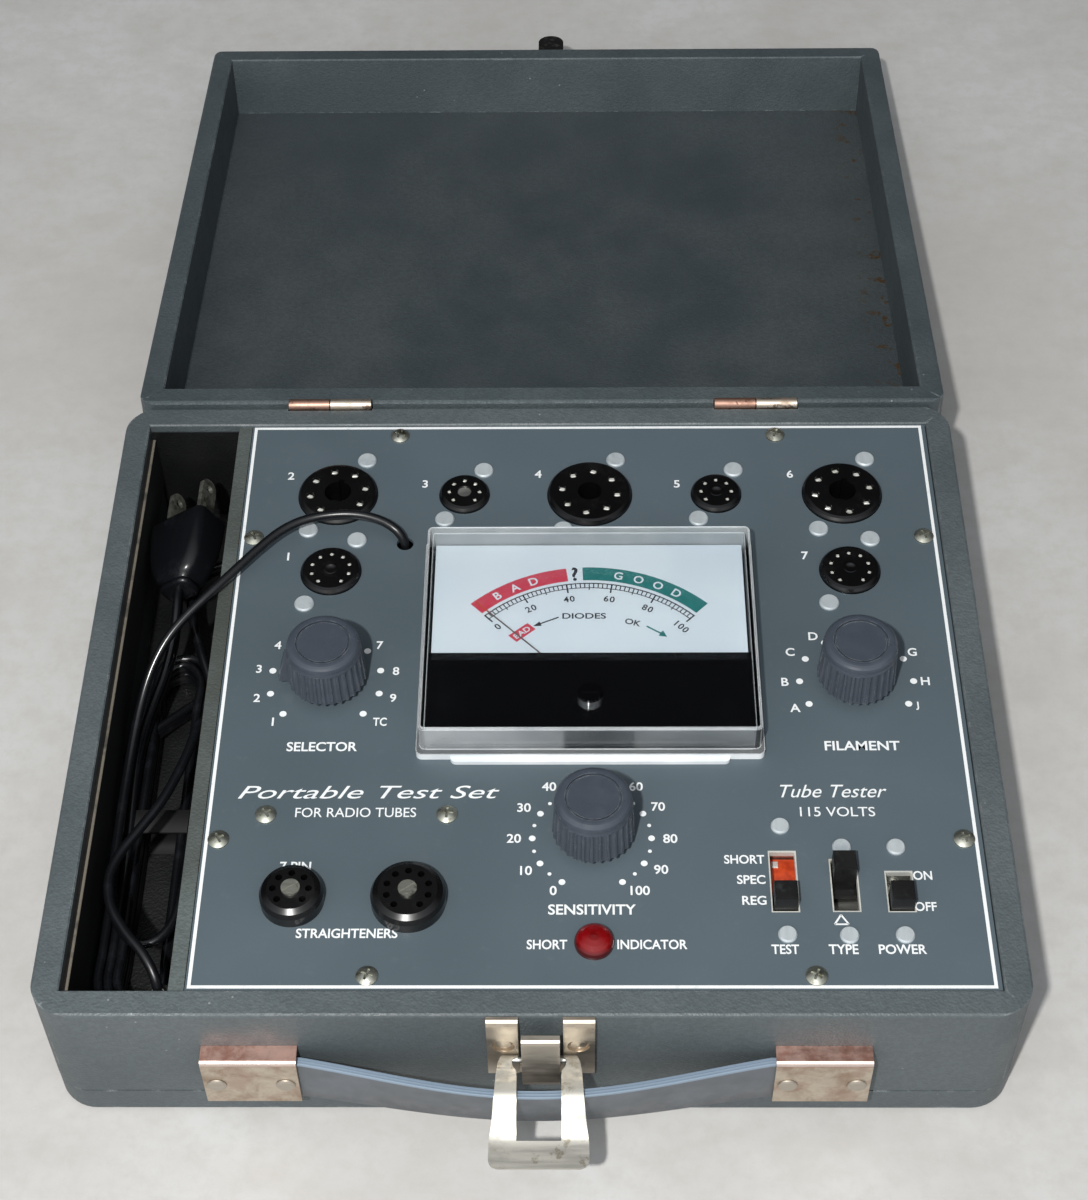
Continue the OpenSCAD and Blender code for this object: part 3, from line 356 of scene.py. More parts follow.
jewel = Mat("jewel", rgb(90, 4, 6), 0.08, Coat_Weight=0.1)
# dark centre, brighter red ring and darker rim set by distance from the centre: painted shade and painted
# light of the glass jewel
depth = jewel.near(17, -89.2, 53.5)
c = jewel.mix(jewel.span(depth, 0.0018, 0.0034), rgb(24, 2, 4), rgb(116, 8, 12))
c = jewel.mix(jewel.span(depth, 0.0044, 0.0054), c, rgb(60, 5, 8))
jewel.set("Base Color", jewel.mix(jewel.span(jewel.noise(500, 2), 0.55, 0.75, 0, 0.2), c, rgb(150, 30, 30)))
jewel.bump(jewel.noise(500, 2), 0.0001, 0.4)

rubber = Mat("strap rubber", rgb(86, 90, 95), 0.5)
c = rubber.mix(rubber.span(rubber.noise(60, 3, 0.6), 0.35, 0.65), rgb(82, 86, 90), rgb(90, 95, 101))
c = rubber.mix(rubber.span(rubber.noise(700, 3, 0.7), 0.55, 0.75, 0, 0.3), c, rgb(70, 74, 80))
# the strap's top edge is painted a light blue-grey: painted highlight on its ribbed edge
rubber.set("Base Color", rubber.mix(rubber.span(rubber.axis(2), 0.0338, 0.0343), c, rgb(122, 138, 154)))
rubber.set("Roughness", rubber.span(rubber.noise(200, 3), 0.3, 0.7, 0.36, 0.5))
rubber.bump(rubber.noise(900, 2), 0.00003, 0.5)

clear = Mat("clear cover", (1, 1, 1), 0.04)
mix = clear.node("ShaderNodeMixShader")
see = clear.node("ShaderNodeBsdfTransparent")
see.inputs[0].default_value = (0.97, 0.985, 0.99, 1)
shine = clear.node("ShaderNodeBsdfGlossy")
shine.inputs["Roughness"].default_value = 0.03
fres = clear.node("ShaderNodeFresnel")
fres.inputs[0].default_value = 1.47
clear.put(mix.inputs[0], fres.outputs[0])
clear.put(mix.inputs[1], see.outputs[0])
clear.put(mix.inputs[2], shine.outputs[0])
# whitening of the clear cover over its see-through layer: on upright walls and sharp edges it is a painted
# highlight; on the front face it fades left to right as painted light and is left out round x = 18.9 mm,
# where the black mask shows as a dark patch; the foot below 54.4 mm is made nearly opaque white; none near
# the zero screw
side = clear.math("MULTIPLY", clear.upright(), 0.5)
face = clear.span(clear.axis(1), -0.0262, -0.0258, 1.0, 0.0)
front_painted_falloff = clear.span(clear.axis(0), -0.032, 0.05, 0.62, 0.1)
patch = clear.math("ABSOLUTE", clear.math("SUBTRACT", clear.axis(0), 0.0189))
front_painted_falloff = clear.math("MULTIPLY", front_painted_falloff, clear.span(patch, 0.009, 0.011))
side = clear.math("MULTIPLY", side, clear.math("ADD", clear.math("SUBTRACT", 1.0, face),
                                               clear.math("MULTIPLY", face, front_painted_falloff)))
haze_and_painted_glints = clear.math("MAXIMUM", side, clear.edge(0.0006, 0.05, 0.25))
haze_and_painted_glints = clear.math("MAXIMUM", haze_and_painted_glints, clear.span(clear.axis(2), 0.0542, 0.0546, 0.95, 0.0))
haze_and_painted_glints = clear.math("MULTIPLY", haze_and_painted_glints, clear.span(clear.near(16.3, -13.6, 64), 0.0045, 0.006))
body = clear.node("ShaderNodeMixShader")
clear.set("Base Color", clear.mix(clear.span(clear.noise(70, 3), 0.3, 0.7), rgb(238, 242, 244),
                                  rgb(214, 220, 224)))
clear.put(body.inputs[0], clear.math("MINIMUM", haze_and_painted_glints, 0.95))
clear.put(body.inputs[1], mix.outputs[0])
clear.put(body.inputs[2], clear.p.outputs[0])
clear.put(clear.tree.nodes["Material Output"].inputs["Surface"], body.outputs[0])

dress(case, "base_front_wall", "base_back_wall", "base_left_wall", "base_right_wall", "bottom_board")
dress(lid_paint, "lid_front_wall", "lid_back_wall", "lid_left_wall", "lid_right_wall")
dress(bay, "divider")
dress(inside, "lid_board")
dress(panel, "panel_plate")
dress(wood, "panel_cleats")
dress(nickel, "panel_screws", "transformer_screws", "straightener_screws", "control_nuts")
dress(iron, "transformer")
dress(phenolic, "octal_socket_2", "miniature_socket_3", "loctal_socket_4", "miniature_socket_5",
      "octal_socket_6", "noval_socket_7", "noval_socket_1", "pin_straighteners", "meter_body")
dress(rivet, "socket_rivets", "switch_rivets")
dress(tin, "socket_contacts", "slide_switches", "lamp_holder")
dress(clear, "meter_cover")
dress(gloss, "meter_mask", "meter_zero_screw")
dress(pale, "meter_dial")
dress(brass, "meter_movement", "rotary_controls", "control_shaft_1", "control_shaft_2", "control_shaft_3")
dress(needle, "meter_needle")
dress(knob, "selector_knob", "filament_knob", "sensitivity_knob")
dress(button, "test_slider", "type_slider", "power_slider")
dress(jewel, "lamp_jewel")
dress(hinge_a, "hinge_base_leaves")
dress(hinge_b, "hinge_lid_leaves")
dress(dark, "lid_catch")
dress(latch, "latch_plate", "front_rivets")
dress(spring, "latch_bail")
dress(copper, "handle_brackets")
dress(rubber, "handle_strap")
dress(jet, "cap_lead", "power_cord", "power_plug")


def piece(name, bm, mats, body, smooth=True, crease=None):
    me = bpy.data.meshes.new(name)
    bm.to_mesh(me)
    bm.free()
    for m in mats if isinstance(mats, (list, tuple)) else [mats]:
        me.materials.append(m.mat)
    for p in me.polygons:
        p.use_smooth = smooth
    if crease:
        me.set_sharp_from_angle(angle=math.radians(crease))
    o = bpy.data.objects.new(name, me)
    bpy.context.scene.collection.objects.link(o)
    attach(o, body)
    return o


# ---------------------------------------------------------------- cords
def smooth_line(pts, step):
    """Points every step along a Catmull-Rom curve through pts."""
    P = [Vector(p) for p in pts]
    P = [P[0] * 2 - P[1]] + P + [P[-1] * 2 - P[-2]]
    dense = []
    for i in range(1, len(P) - 2):
        a, b, c, d = P[i - 1:i + 3]
        for k in range(12):
            t = k / 12
            dense.append(0.5 * ((2 * b) + (c - a) * t + (2 * a - 5 * b + 4 * c - d) * t * t
                                + (3 * b - a - 3 * c + d) * t ** 3))
    dense.append(P[-2])
    out, acc = [dense[0]], 0.0
    for p, q in zip(dense, dense[1:]):
        l = (q - p).length
        while acc + l >= step:
            p = p + (q - p) * ((step - acc) / l)
            l = (q - p).length
            out.append(p.copy())
            acc = 0.0
        acc += l
    if (out[-1] - dense[-1]).length > step * 0.3:
        out.append(dense[-1])
    return out


def tube(path, section, upright=Vector((0, 0, 1))):
    """Mesh tube along path; section is a list of (across, up) in metres."""
    bm = bmesh.new()
    rings = []
    side = None
    for i, p in enumerate(path):
        t = (path[min(i + 1, len(path) - 1)] - path[max(i - 1, 0)]).normalized()
        s = t.cross(upright)
        if side is None:
            s = s if s.length > 0.1 else t.orthogonal()
        elif s.length < 0.35:
            s = side - t * side.dot(t)
        if side is not None and s.dot(side) < 0:
            s = -s
        if side is None:
            s = s.normalized()
        else:
            s = (s.normalized() * 0.5 + (side - t * side.dot(t)).normalized() * 0.5).normalized()
        side = s
        u = s.cross(t)
        rings.append([bm.verts.new(p + s * a + u * b) for a, b in section])
    n = len(section)
    for r, q in zip(rings, rings[1:]):
        for k in range(n):
            bm.faces.new((r[k], r[(k + 1) % n], q[(k + 1) % n], q[k]))
    bm.faces.new(rings[0][::-1])
    bm.faces.new(rings[-1])
    bmesh.ops.recalc_face_normals(bm, faces=bm.faces)
    return bm


def circle(r, n=16, y=0.0):
    return [(r * math.cos(2 * math.pi * k / n), y + r * math.sin(2 * math.pi * k / n)) for k in range(n)]


LEAD = [(-40.4, 53.6, 44), (-40.4, 53.7, 49), (-40.7, 54.1, 53), (-43, 56, 56), (-48, 58.8, 57.4),
        (-55, 60.6, 58), (-63, 60.6, 58), (-71.5, 58.6, 57.8), (-78.5, 54.4, 57.4), (-85, 47.6, 56.8),
        (-90.8, 40.6, 56), (-97.8, 32.6, 54.6), (-104.6, 26, 52), (-109.8, 20.4, 49), (-113.6, 15, 45.4),
        (-116.4, 9.4, 41.4), (-118.4, 2.6, 37.4), (-119.8, -6, 34), (-120.6, -16, 31.6), (-121, -30, 30.4),
        (-121, -46, 30), (-120.4, -58, 30), (-118, -68, 30), (-113, -75, 30), (-107, -75.6, 30),
        (-102.4, -70.6, 30), (-100.4, -62, 30), (-99.8, -48, 30), (-99.6, -32, 30), (-99.6, -20, 30),
        (-99.6, -11.6, 30.4), (-99.6, -5.6, 32.8), (-99.6, -3.2, 36), (-99.8, -5.8, 39.2),
        (-100.4, -12, 40.8), (-102.6, -22, 41.2), (-107, -35, 41.4), (-112.6, -45.4, 41.4),
        (-117, -53.4, 41.4), (-119, -61.4, 41.4), (-117.4, -70.6, 41.4), (-112.6, -78.6, 41.2),
        (-107.4, -84.8, 40.8), (-104, -89.8, 39), (-102.6, -93, 36.4), (-102.4, -94.4, 33)]
lead_path = smooth_line([[c * MM for c in p] for p in LEAD], 0.0022)
lead = piece("cap_lead_wire", tube(lead_path, circle(0.00145)), jet, "case")
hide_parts("cap_lead")

# spring clip of the cap lead, a slit metal cup with a wire barrel
bm = bmesh.new()
prof = [(3.7, 24), (5.0, 24), (5.15, 24.6), (4.9, 26), (5.0, 29), (4.7, 31.5), (3.6, 33), (2.2, 33.4),
        (1.9, 35.4), (1.5, 35.5), (1.5, 33), (2.8, 32.4), (3.7, 31.2), (3.8, 26)]
rows = []
for k in range(41):
    a = math.radians(8 + 344 * k / 40)
    rows.append([bm.verts.new(((-102.4 + r * math.cos(a)) * MM, (-94.6 + r * math.sin(a)) * MM, z * MM))
                 for r, z in prof])
for r, q in zip(rows, rows[1:]):
    for k in range(len(prof)):
        bm.faces.new((r[k], q[k], q[(k + 1) % len(prof)], r[(k + 1) % len(prof)]))
bm.faces.new(rows[0])
bm.faces.new(rows[-1][::-1])
bmesh.ops.recalc_face_normals(bm, faces=bm.faces)
clip = piece("cap_clip", bm, tin, "case")

TAIL = [(-97, 66, 27), (-101.6, 65.6, 27), (-106.8, 63, 26.4), (-109.6, 57, 25.6), (-109.6, 49, 24.8),
        (-107.4, 40, 24.4), (-104, 30, 24.2), (-100.8, 21, 22.4), (-99.4, 12, 19.8), (-99.2, 4, 18.9)]
LIFT = [(-119.8, -14, 23.8), (-119, 0, 24.8), (-117, 11, 25.8), (-114.4, 21, 27.8), (-112.4, 30, 31.8),
        (-111.7, 38, 35.4), (-111.7, 44, 37), (-111.7, 48.6, 37)]


def hank():
    """Three lanes side by side in two layers, wound as one line from the right side of the bay."""
    cx, cy, half = -110.9, -29.0, 54.7
    lanes = [(11.6, 18.9), (11.6, 13.5), (8.85, 13.4), (6.2, 13.5), (6.2, 18.9), (8.9, 18.8)]
    pts = []
    per = 28
    for i in range(len(lanes) * per):
        u = i / per
        k = int(u)
        f = u - k
        nxt = lanes[min(k + 1, len(lanes) - 1)]
        b = max(0.0, (f - 0.8) / 0.2)
        b = b * b * (3 - 2 * b)
        r = lanes[k][0] * (1 - b) + nxt[0] * b
        z = lanes[k][1] * (1 - b) + nxt[1] * b
        straight, arc = 2 * half, math.pi * r
        s = f * (2 * straight + 2 * arc)
        left = False
        if s < straight:
            x, y = r, half - s
        elif s < straight + arc:
            a = (s - straight) / r
            x, y = r * math.cos(a), -half - r * math.sin(a)
        elif s < 2 * straight + arc:
            x, y, left = -r, -half + (s - straight - arc), True
        else:
            a = (s - 2 * straight - arc) / r
            x, y = -r * math.cos(a), half + r * math.sin(a)
        if k == 5 and left and cy + y > -42:
            break
        if k or cy + y < 0:
            pts.append((cx + x + 0.12 * math.sin(u * 9.1), cy + y, z + 0.1 * math.sin(u * 5.3)))
    return pts


route = [TAIL[0]]
for p in TAIL[1:] + hank() + LIFT:
    if math.dist(p, route[-1]) > 3.4:
        route.append(p)
mains_path = smooth_line([[c * MM for c in p] for p in route], 0.003)
lobe = [(1.33 * math.cos(math.radians(a)), 1.38 + 1.33 * math.sin(math.radians(a)))
        for a in range(-40, 221, 26)]
zip_section = [(a * MM, b * MM) for a, b in lobe + [(-x, -y) for x, y in lobe]]
mains = piece("mains_cord", tube(mains_path, zip_section), jet, "case")
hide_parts("power_cord")


def loft(bm, rings, cap=True):
    """Joins rings of points (lists of tuples in mm) into a skin."""
    made = [[bm.verts.new([c * MM for c in p]) for p in ring] for ring in rings]
    n = len(made[0])
    for r, q in zip(made, made[1:]):
        for k in range(n):
            bm.faces.new((r[k], r[(k + 1) % n], q[(k + 1) % n], q[k]))
    if cap:
        bm.faces.new(made[0][::-1])
        bm.faces.new(made[-1])


def soft_box(hx, hz, r, n=5):
    """Outline of a rounded rectangle, as (x, z)."""
    out = []
    for sx, sz, a0 in ((1, 1, 0), (-1, 1, 90), (-1, -1, 180), (1, -1, 270)):
        for k in range(n):
            a = math.radians(a0 + 90 * k / (n - 1))
            out.append((sx * (hx - r) + r * math.cos(a), sz * (hz - r) + r * math.sin(a)))
    return out


def tilt(x, y, z, a=math.radians(33)):
    """Plug coordinates to the frame: rolled about Y at its place in the bay."""
    return (-111.7 + x * math.cos(a) - z * math.sin(a), 47 + y, 37 + x * math.sin(a) + z * math.cos(a))


bm = bmesh.new()
rings = []
for y, hx, hz, r in ((0, 4.6, 3.4, 2.4), (0.3, 5.4, 4.2, 2.6), (1.6, 5.8, 4.6, 2.8), (1.9, 4.9, 3.9, 2.6),
                     (3.0, 4.9, 3.9, 2.6), (3.3, 6.4, 5.0, 3), (5.5, 8.0, 5.6, 3.4), (9, 9.6, 6.1, 3.6),
                     (14, 10.5, 6.6, 3.4), (22, 10.9, 6.9, 3), (26.6, 10.9, 6.9, 2.6),
                     (27.6, 10.6, 6.6, 2.4), (28, 10, 6, 2)):
    rings.append([tilt(x, y, z) for x, z in soft_box(hx, hz, r)])
loft(bm, rings)
bmesh.ops.recalc_face_normals(bm, faces=bm.faces)
plug_body = piece("plug_body", bm, jet, "case")
bm = bmesh.new()
for cx in (-6.35, 6.35):
    tip = [(40.9 + 3.15 * math.sin(math.radians(a)), -3.15 * math.cos(math.radians(a)))
           for a in range(20, 180, 20)]
    out = [(27, -3.15), (40.2, -3.15)] + tip + [(40.2, 3.15), (27, 3.15)]
    hole = [(40.2 + 1.5 * math.cos(math.radians(a)), 1.5 * math.sin(math.radians(a)))
            for a in range(0, 360, 30)]
    ends = []
    for x in (cx - 0.75, cx + 0.75):
        vo = [bm.verts.new([c * MM for c in tilt(x, y, z)]) for y, z in out]
        vh = [bm.verts.new([c * MM for c in tilt(x, y, z)]) for y, z in hole]
        eo = [bm.edges.new((vo[k], vo[(k + 1) % len(vo)])) for k in range(len(vo))]
        eh = [bm.edges.new((vh[k], vh[(k + 1) % len(vh)])) for k in range(len(vh))]
        bmesh.ops.triangle_fill(bm, edges=eo + eh, use_beauty=True)
        ends.append((vo, vh))
    for j in (0, 1):
        a, b = ends[0][j], ends[1][j]
        for k in range(len(a)):
            bm.faces.new((a[k], a[(k + 1) % len(a)], b[(k + 1) % len(a)], b[k]))
bmesh.ops.recalc_face_normals(bm, faces=bm.faces)
blades = piece("plug_blades", bm, nickel, "case", smooth=False)
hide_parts("power_plug")

bm = bmesh.new()
prof = [(3.3, -97.8), (5.1, -97.8), (5.3, -97.4), (5.2, -96.5), (4.1, -96.4), (4.1, -92.6), (4.4, -92.3),
        (4.2, -91.6), (3.2, -91.5)]
loft(bm, [[(x, 66 + r * math.cos(math.radians(a)), 27 + r * math.sin(math.radians(a))) for r, x in prof]
          for a in range(0, 360, 15)] + [[(x, 66 + r, 27.0) for r, x in prof]], cap=False)
bmesh.ops.remove_doubles(bm, verts=bm.verts, dist=1e-6)
bmesh.ops.recalc_face_normals(bm, faces=bm.faces)
piece("cord_grommet", bm, phenolic, "case")

bm = bmesh.new()
band = []
for off in (0.0, 0.55):
    band.append([(-110.9 + x, z + 16.2) for x, z in soft_box(12.98 + off, 5.5 + off, 1.6 + off, 6)])
rings = []
for y0, k in ((-33.2, 0), (-33.0, 1), (-29, 1), (-25.2, 1), (-25.0, 0)):
    rings.append([(x, y0, z) for x, z in band[k]])
loft(bm, rings + [rings[0]], cap=False)
bmesh.ops.remove_doubles(bm, verts=bm.verts, dist=1e-6)
bmesh.ops.recalc_face_normals(bm, faces=bm.faces)
wrap = Mat("cord wrap", rgb(15, 15, 17), 0.8)
wrap.set("Base Color", wrap.mix(wrap.noise(300, 3), rgb(11, 11, 13), rgb(18, 18, 20)))
tie = piece("cord_tie", bm, wrap, "case")


# ---------------------------------------------------------------- strap, bail, small parts
def bow(x):
    if abs(x) > 63:
        return 4.5
    a = math.radians(x / 0.7)
    return 4.5 + 8.6 * (0.75 * math.cos(a) + 0.125 * (1 + math.cos(2 * a)))


bm = bmesh.new()
section = [(1.2, -8.6), (1.25, 0), (1.2, 8.3), (1.1, 8.9), (0.7, 9.0), (0.45, 8.55), (0.2, 8.95),
           (-0.2, 8.95), (-0.45, 8.55), (-0.7, 9.0), (-1.1, 8.9), (-1.2, 8.3), (-1.2, -8.3), (-0.9, -9.0),
           (0.9, -9.0)]
rings = []
for i in range(91):
    x = -88.6 + 177.2 * i / 90
    lean = 1.3 * (bow(x) - 4.5) / 8.6
    rings.append([(1.35 + x, -112 - bow(x) + 1.2 - n - lean * z / 9, 25.8 + z) for n, z in section])
loft(bm, rings)
bmesh.ops.recalc_face_normals(bm, faces=bm.faces)
strap = piece("strap_band", bm, rubber, "case", crease=50)
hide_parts("handle_strap")

# bail: side profile outward from the pivot, legs either side of a window, then the pull
WINDOW_END = -21.1             # how far out from the pivot the window reaches, in mm
side_line = [(0.5, -1.1), (1.15, -0.2), (0.9, 0.8), (-0.2, 1.3), (-1.8, 1.25), (-4.5, 1.15), (-8.2, 1.2),
             (-11.4, 0.7), (-14.4, -1.2), (-17.4, -3.7), (-19.6, -5.1), (-21.6, -5.6), (-24.8, -5.75),
             (-28.3, -5.8)]
spine = smooth_line([(0, y * MM, z * MM) for y, z in side_line], 0.0005)
run = [0.0]
for a, b in zip(spine, spine[1:]):
    run.append(run[-1] + (b - a).length / MM)
total = run[-1]


def across(table, v):
    for (a, p), (b, q) in zip(table, table[1:]):
        if v <= b:
            return p + (q - p) * max(0.0, v - a) / (b - a)
    return table[-1][1]


OUT = [(0, 8.2), (1, 9.2), (2.5, 10.2), (4.5, 11.0), (8, 11.5), (14, 11.9), (19, 12.3), (24, 12.9),
       (26.5, 13.25), (total - 2.4, 13.3), (total - 1.2, 13.0), (total - 0.4, 12.2), (total, 11.0)]
INN = [(0, 5.5), (2.6, 5.6), (3.3, 6.9), (4.5, 7.3), (5.8, 7.0), (6.8, 6.1), (8.5, 5.95), (60, 5.95)]

bm = bmesh.new()
rows = []
for p, v in zip(spine, run):
    o = across(OUT, v)
    n = across(INN, v)
    xs = [-o + (o - n) * k / 6 for k in range(7)]
    xs += [-n + 2 * n * k / 6 for k in range(1, 6)]
    xs += [n + (o - n) * k / 6 for k in range(7)]
    rows.append([bm.verts.new(((2.2 + x) * MM, -0.1154 + p.y, 0.0356 + p.z)) for x in xs])
for i, (r, q) in enumerate(zip(rows, rows[1:])):
    for k in range(len(r) - 1):
        if spine[i + 1].y / MM > WINDOW_END and 6 <= k < 12:
            continue
        bm.faces.new((r[k], r[k + 1], q[k + 1], q[k]))
for v in [v for v in bm.verts if not v.link_faces]:
    bm.verts.remove(v)
bmesh.ops.recalc_face_normals(bm, faces=bm.faces)
bmesh.ops.solidify(bm, geom=list(bm.faces), thickness=0.001)
bmesh.ops.recalc_face_normals(bm, faces=bm.faces)
pull = piece("bail_sheet", bm, spring, "bail", crease=45)
bm = bmesh.new()
for s in (-1, 1):
    loft(bm, [[(2.2 + s * x, -115.4 + r * math.cos(math.radians(a)),
                35.6 + r * math.sin(math.radians(a))) for a in range(0, 360, 20)]
              for x, r in ((3.4, 0.7), (3.6, 0.85), (9.3, 0.85), (9.5, 0.7))])
bmesh.ops.recalc_face_normals(bm, faces=bm.faces)
piece("bail_pins", bm, tin, "bail", crease=40)
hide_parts("latch_bail")


def slab(bm, x0, x1, y0, y1, z0, z1, ease=0.15):
    """Box in mm with its upper edges eased."""
    loft(bm, [[(x0, y0, z0), (x1, y0, z0), (x1, y1, z0), (x0, y1, z0)],
              [(x0, y0, z1 - ease), (x1, y0, z1 - ease), (x1, y1, z1 - ease), (x0, y1, z1 - ease)],
              [(x0 + ease, y0 + ease, z1), (x1 - ease, y0 + ease, z1), (x1 - ease, y1 - ease, z1),
               (x0 + ease, y1 - ease, z1)]])


# the needle: a fine blade cranked a little to one side of its pivot
bm = bmesh.new()
NX, NY = 16.3, -11.2           # pivot of the needle
aim = math.radians(134.5)      # its direction at rest
for r0, r1, off, half, z0, z1 in ((2, 50.4, 1.5, 0.17, 57.9, 58.15), (-8, 2.4, 0.6, 0.7, 57.8, 58.15)):
    rings = []
    for r in (r0, r0 + 0.3, r1 - 2, r1):
        w = half if r != r1 else half * 0.5
        rings.append([(NX + r * math.cos(aim) + (off + a) * math.sin(aim),
                       NY + r * math.sin(aim) - (off + a) * math.cos(aim), z)
                      for a, z in ((-w, z0), (w, z0), (w, z1), (-w, z1))])
    loft(bm, rings)
loft(bm, [[(NX + r * math.cos(math.radians(a)), NY + r * math.sin(math.radians(a)), z)
           for a in range(0, 360, 20)]
          for r, z in ((0.6, 32), (0.6, 57.6), (2.4, 57.6), (2.4, 58.6), (0.6, 58.7), (0.6, 59))])
bmesh.ops.recalc_face_normals(bm, faces=bm.faces)
blade = piece("needle_blade", bm, needle, "needle", crease=40)
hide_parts("meter_needle")

# thin liner against the compartment's left wall
bm = bmesh.new()
slab(bm, -125.15, -124.3, -104.0, 104.0, 26, 46.6)
liner = Mat("liner board", rgb(28, 29, 29), 0.6)
top = liner.span(liner.axis(2), 0.0461, 0.0464)
top = liner.math("MULTIPLY", top, liner.span(liner.noise(90, 4, 0.7), 0.3, 0.5, 0.35, 1.0))
liner.set("Base Color", liner.mix(top, rgb(24, 25, 26), rgb(112, 106, 96)))
piece("bay_liner", bm, liner, "case", crease=30)

# bright tongues standing in the socket holes
random.seed(7)
bm = bmesh.new()


def tongue(x, y, a, wide, deep, z):
    ca, sa = math.cos(a), math.sin(a)
    pts = [(-wide / 2, -deep / 2), (wide / 2, -deep / 2), (wide / 2 * 0.8, deep / 2),
           (-wide / 2 * 0.8, deep / 2)]
    tip = random.uniform(-0.12, 0.12)
    ring = [(x + u * ca - v * sa, y + u * sa + v * ca) for u, v in pts]
    inner = [(x + 0.7 * (u * ca - v * sa), y + 0.7 * (u * sa + v * ca)) for u, v in pts]
    loft(bm, [[(u, v, z - 1.6) for u, v in ring], [(u, v, z - 0.25) for u, v in ring],
              [(u, v, z + tip * 0.5) for u, v in inner]])


OCTAL = ((-62.4, 74.2), (96, 74.2))
LOCTAL = (16.8, 74.2)
SEVEN_PIN = ((-22.6, 74.2), (56.5, 74.2))
NINE_PIN = ((96, 42.4), (-62.6, 42.4))
holes = []
for cx, cy in OCTAL:
    holes += [(cx, cy, 10.5 + 45 * i, 8.7, 1.9, 0.95, 53.5) for i in range(8)]
holes += [(*LOCTAL, 37 + 45 * i, 8.7, 1.9, 1.2, 53.5) for i in range(8)]
for cx, cy in SEVEN_PIN:
    holes += [(cx, cy, -90 + 45 * i, 4.76, 1.15, 1.1, 53.55) for i in range(1, 8)]
for cx, cy in NINE_PIN:
    holes += [(cx, cy, -90 + 36 * i, 5.95, 1.15, 0.95, 53.55) for i in range(1, 10)]
for cx, cy, a, r, wide, deep, z in holes:
    t = math.radians(a)
    tongue(cx + r * math.cos(t), cy + r * math.sin(t), random.uniform(-0.4, 0.4), wide, deep, z)
for v in bm.verts:
    v.co.x += random.uniform(-1, 1) * 0.00006
    v.co.y += random.uniform(-1, 1) * 0.00006
silver = metal("contact silver", rgb(232, 232, 226), 0.5, rgb(196, 194, 182))
silver.set("Metallic", 0.6)
piece("contact_tongues", bm, silver, "case", smooth=False)
bm = bmesh.new()
for cx, cy in (*NINE_PIN, SEVEN_PIN[1]):
    loft(bm, [[(cx + r * math.cos(math.radians(a)), cy + r * math.sin(math.radians(a)), z)
               for a in range(0, 360, 15)]
              for r, z in ((2.15, 53.32), (2.15, 53.72), (1.9, 53.85), (1.5, 53.7), (1.2, 53.42),
                           (0.4, 53.34))])
bmesh.ops.recalc_face_normals(bm, faces=bm.faces)
piece("socket_centres", bm, phenolic, "case", crease=60)

# inside the switch slots: lips round the openings and the red fibre under the first slider
bm = bmesh.new()
for x, y, l in ((69.1, -69.6, 19.4), (85.7, -70.9, 16.6), (100.7, -72.9, 12.8)):
    rings = []
    for hx, hy, z in ((3.88, l / 2 + 0.28, 50.0), (3.88, l / 2 + 0.28, 51.9), (3.5, l / 2 - 0.1, 51.9),
                      (3.42, l / 2 - 0.18, 51.6), (3.42, l / 2 - 0.18, 50.0)):
        rings.append([(x - hx, y - hy, z), (x + hx, y - hy, z), (x + hx, y + hy, z), (x - hx, y + hy, z)])
    loft(bm, rings + [rings[0]], cap=False)
bmesh.ops.remove_doubles(bm, verts=bm.verts, dist=1e-6)
bmesh.ops.recalc_face_normals(bm, faces=bm.faces)
piece("slot_lips", bm, silver, "case", smooth=False)
bm = bmesh.new()
slab(bm, 64.2, 74.0, -80.6, -57.9, 44.2, 45.1)
piece("switch_fibre", bm, fibre, "case", smooth=False)
bm = bmesh.new()
slab(bm, 66.6, 68.5, -60.9, -58.9, 45.1, 45.6)
piece("switch_tag", bm, silver, "case", smooth=False)

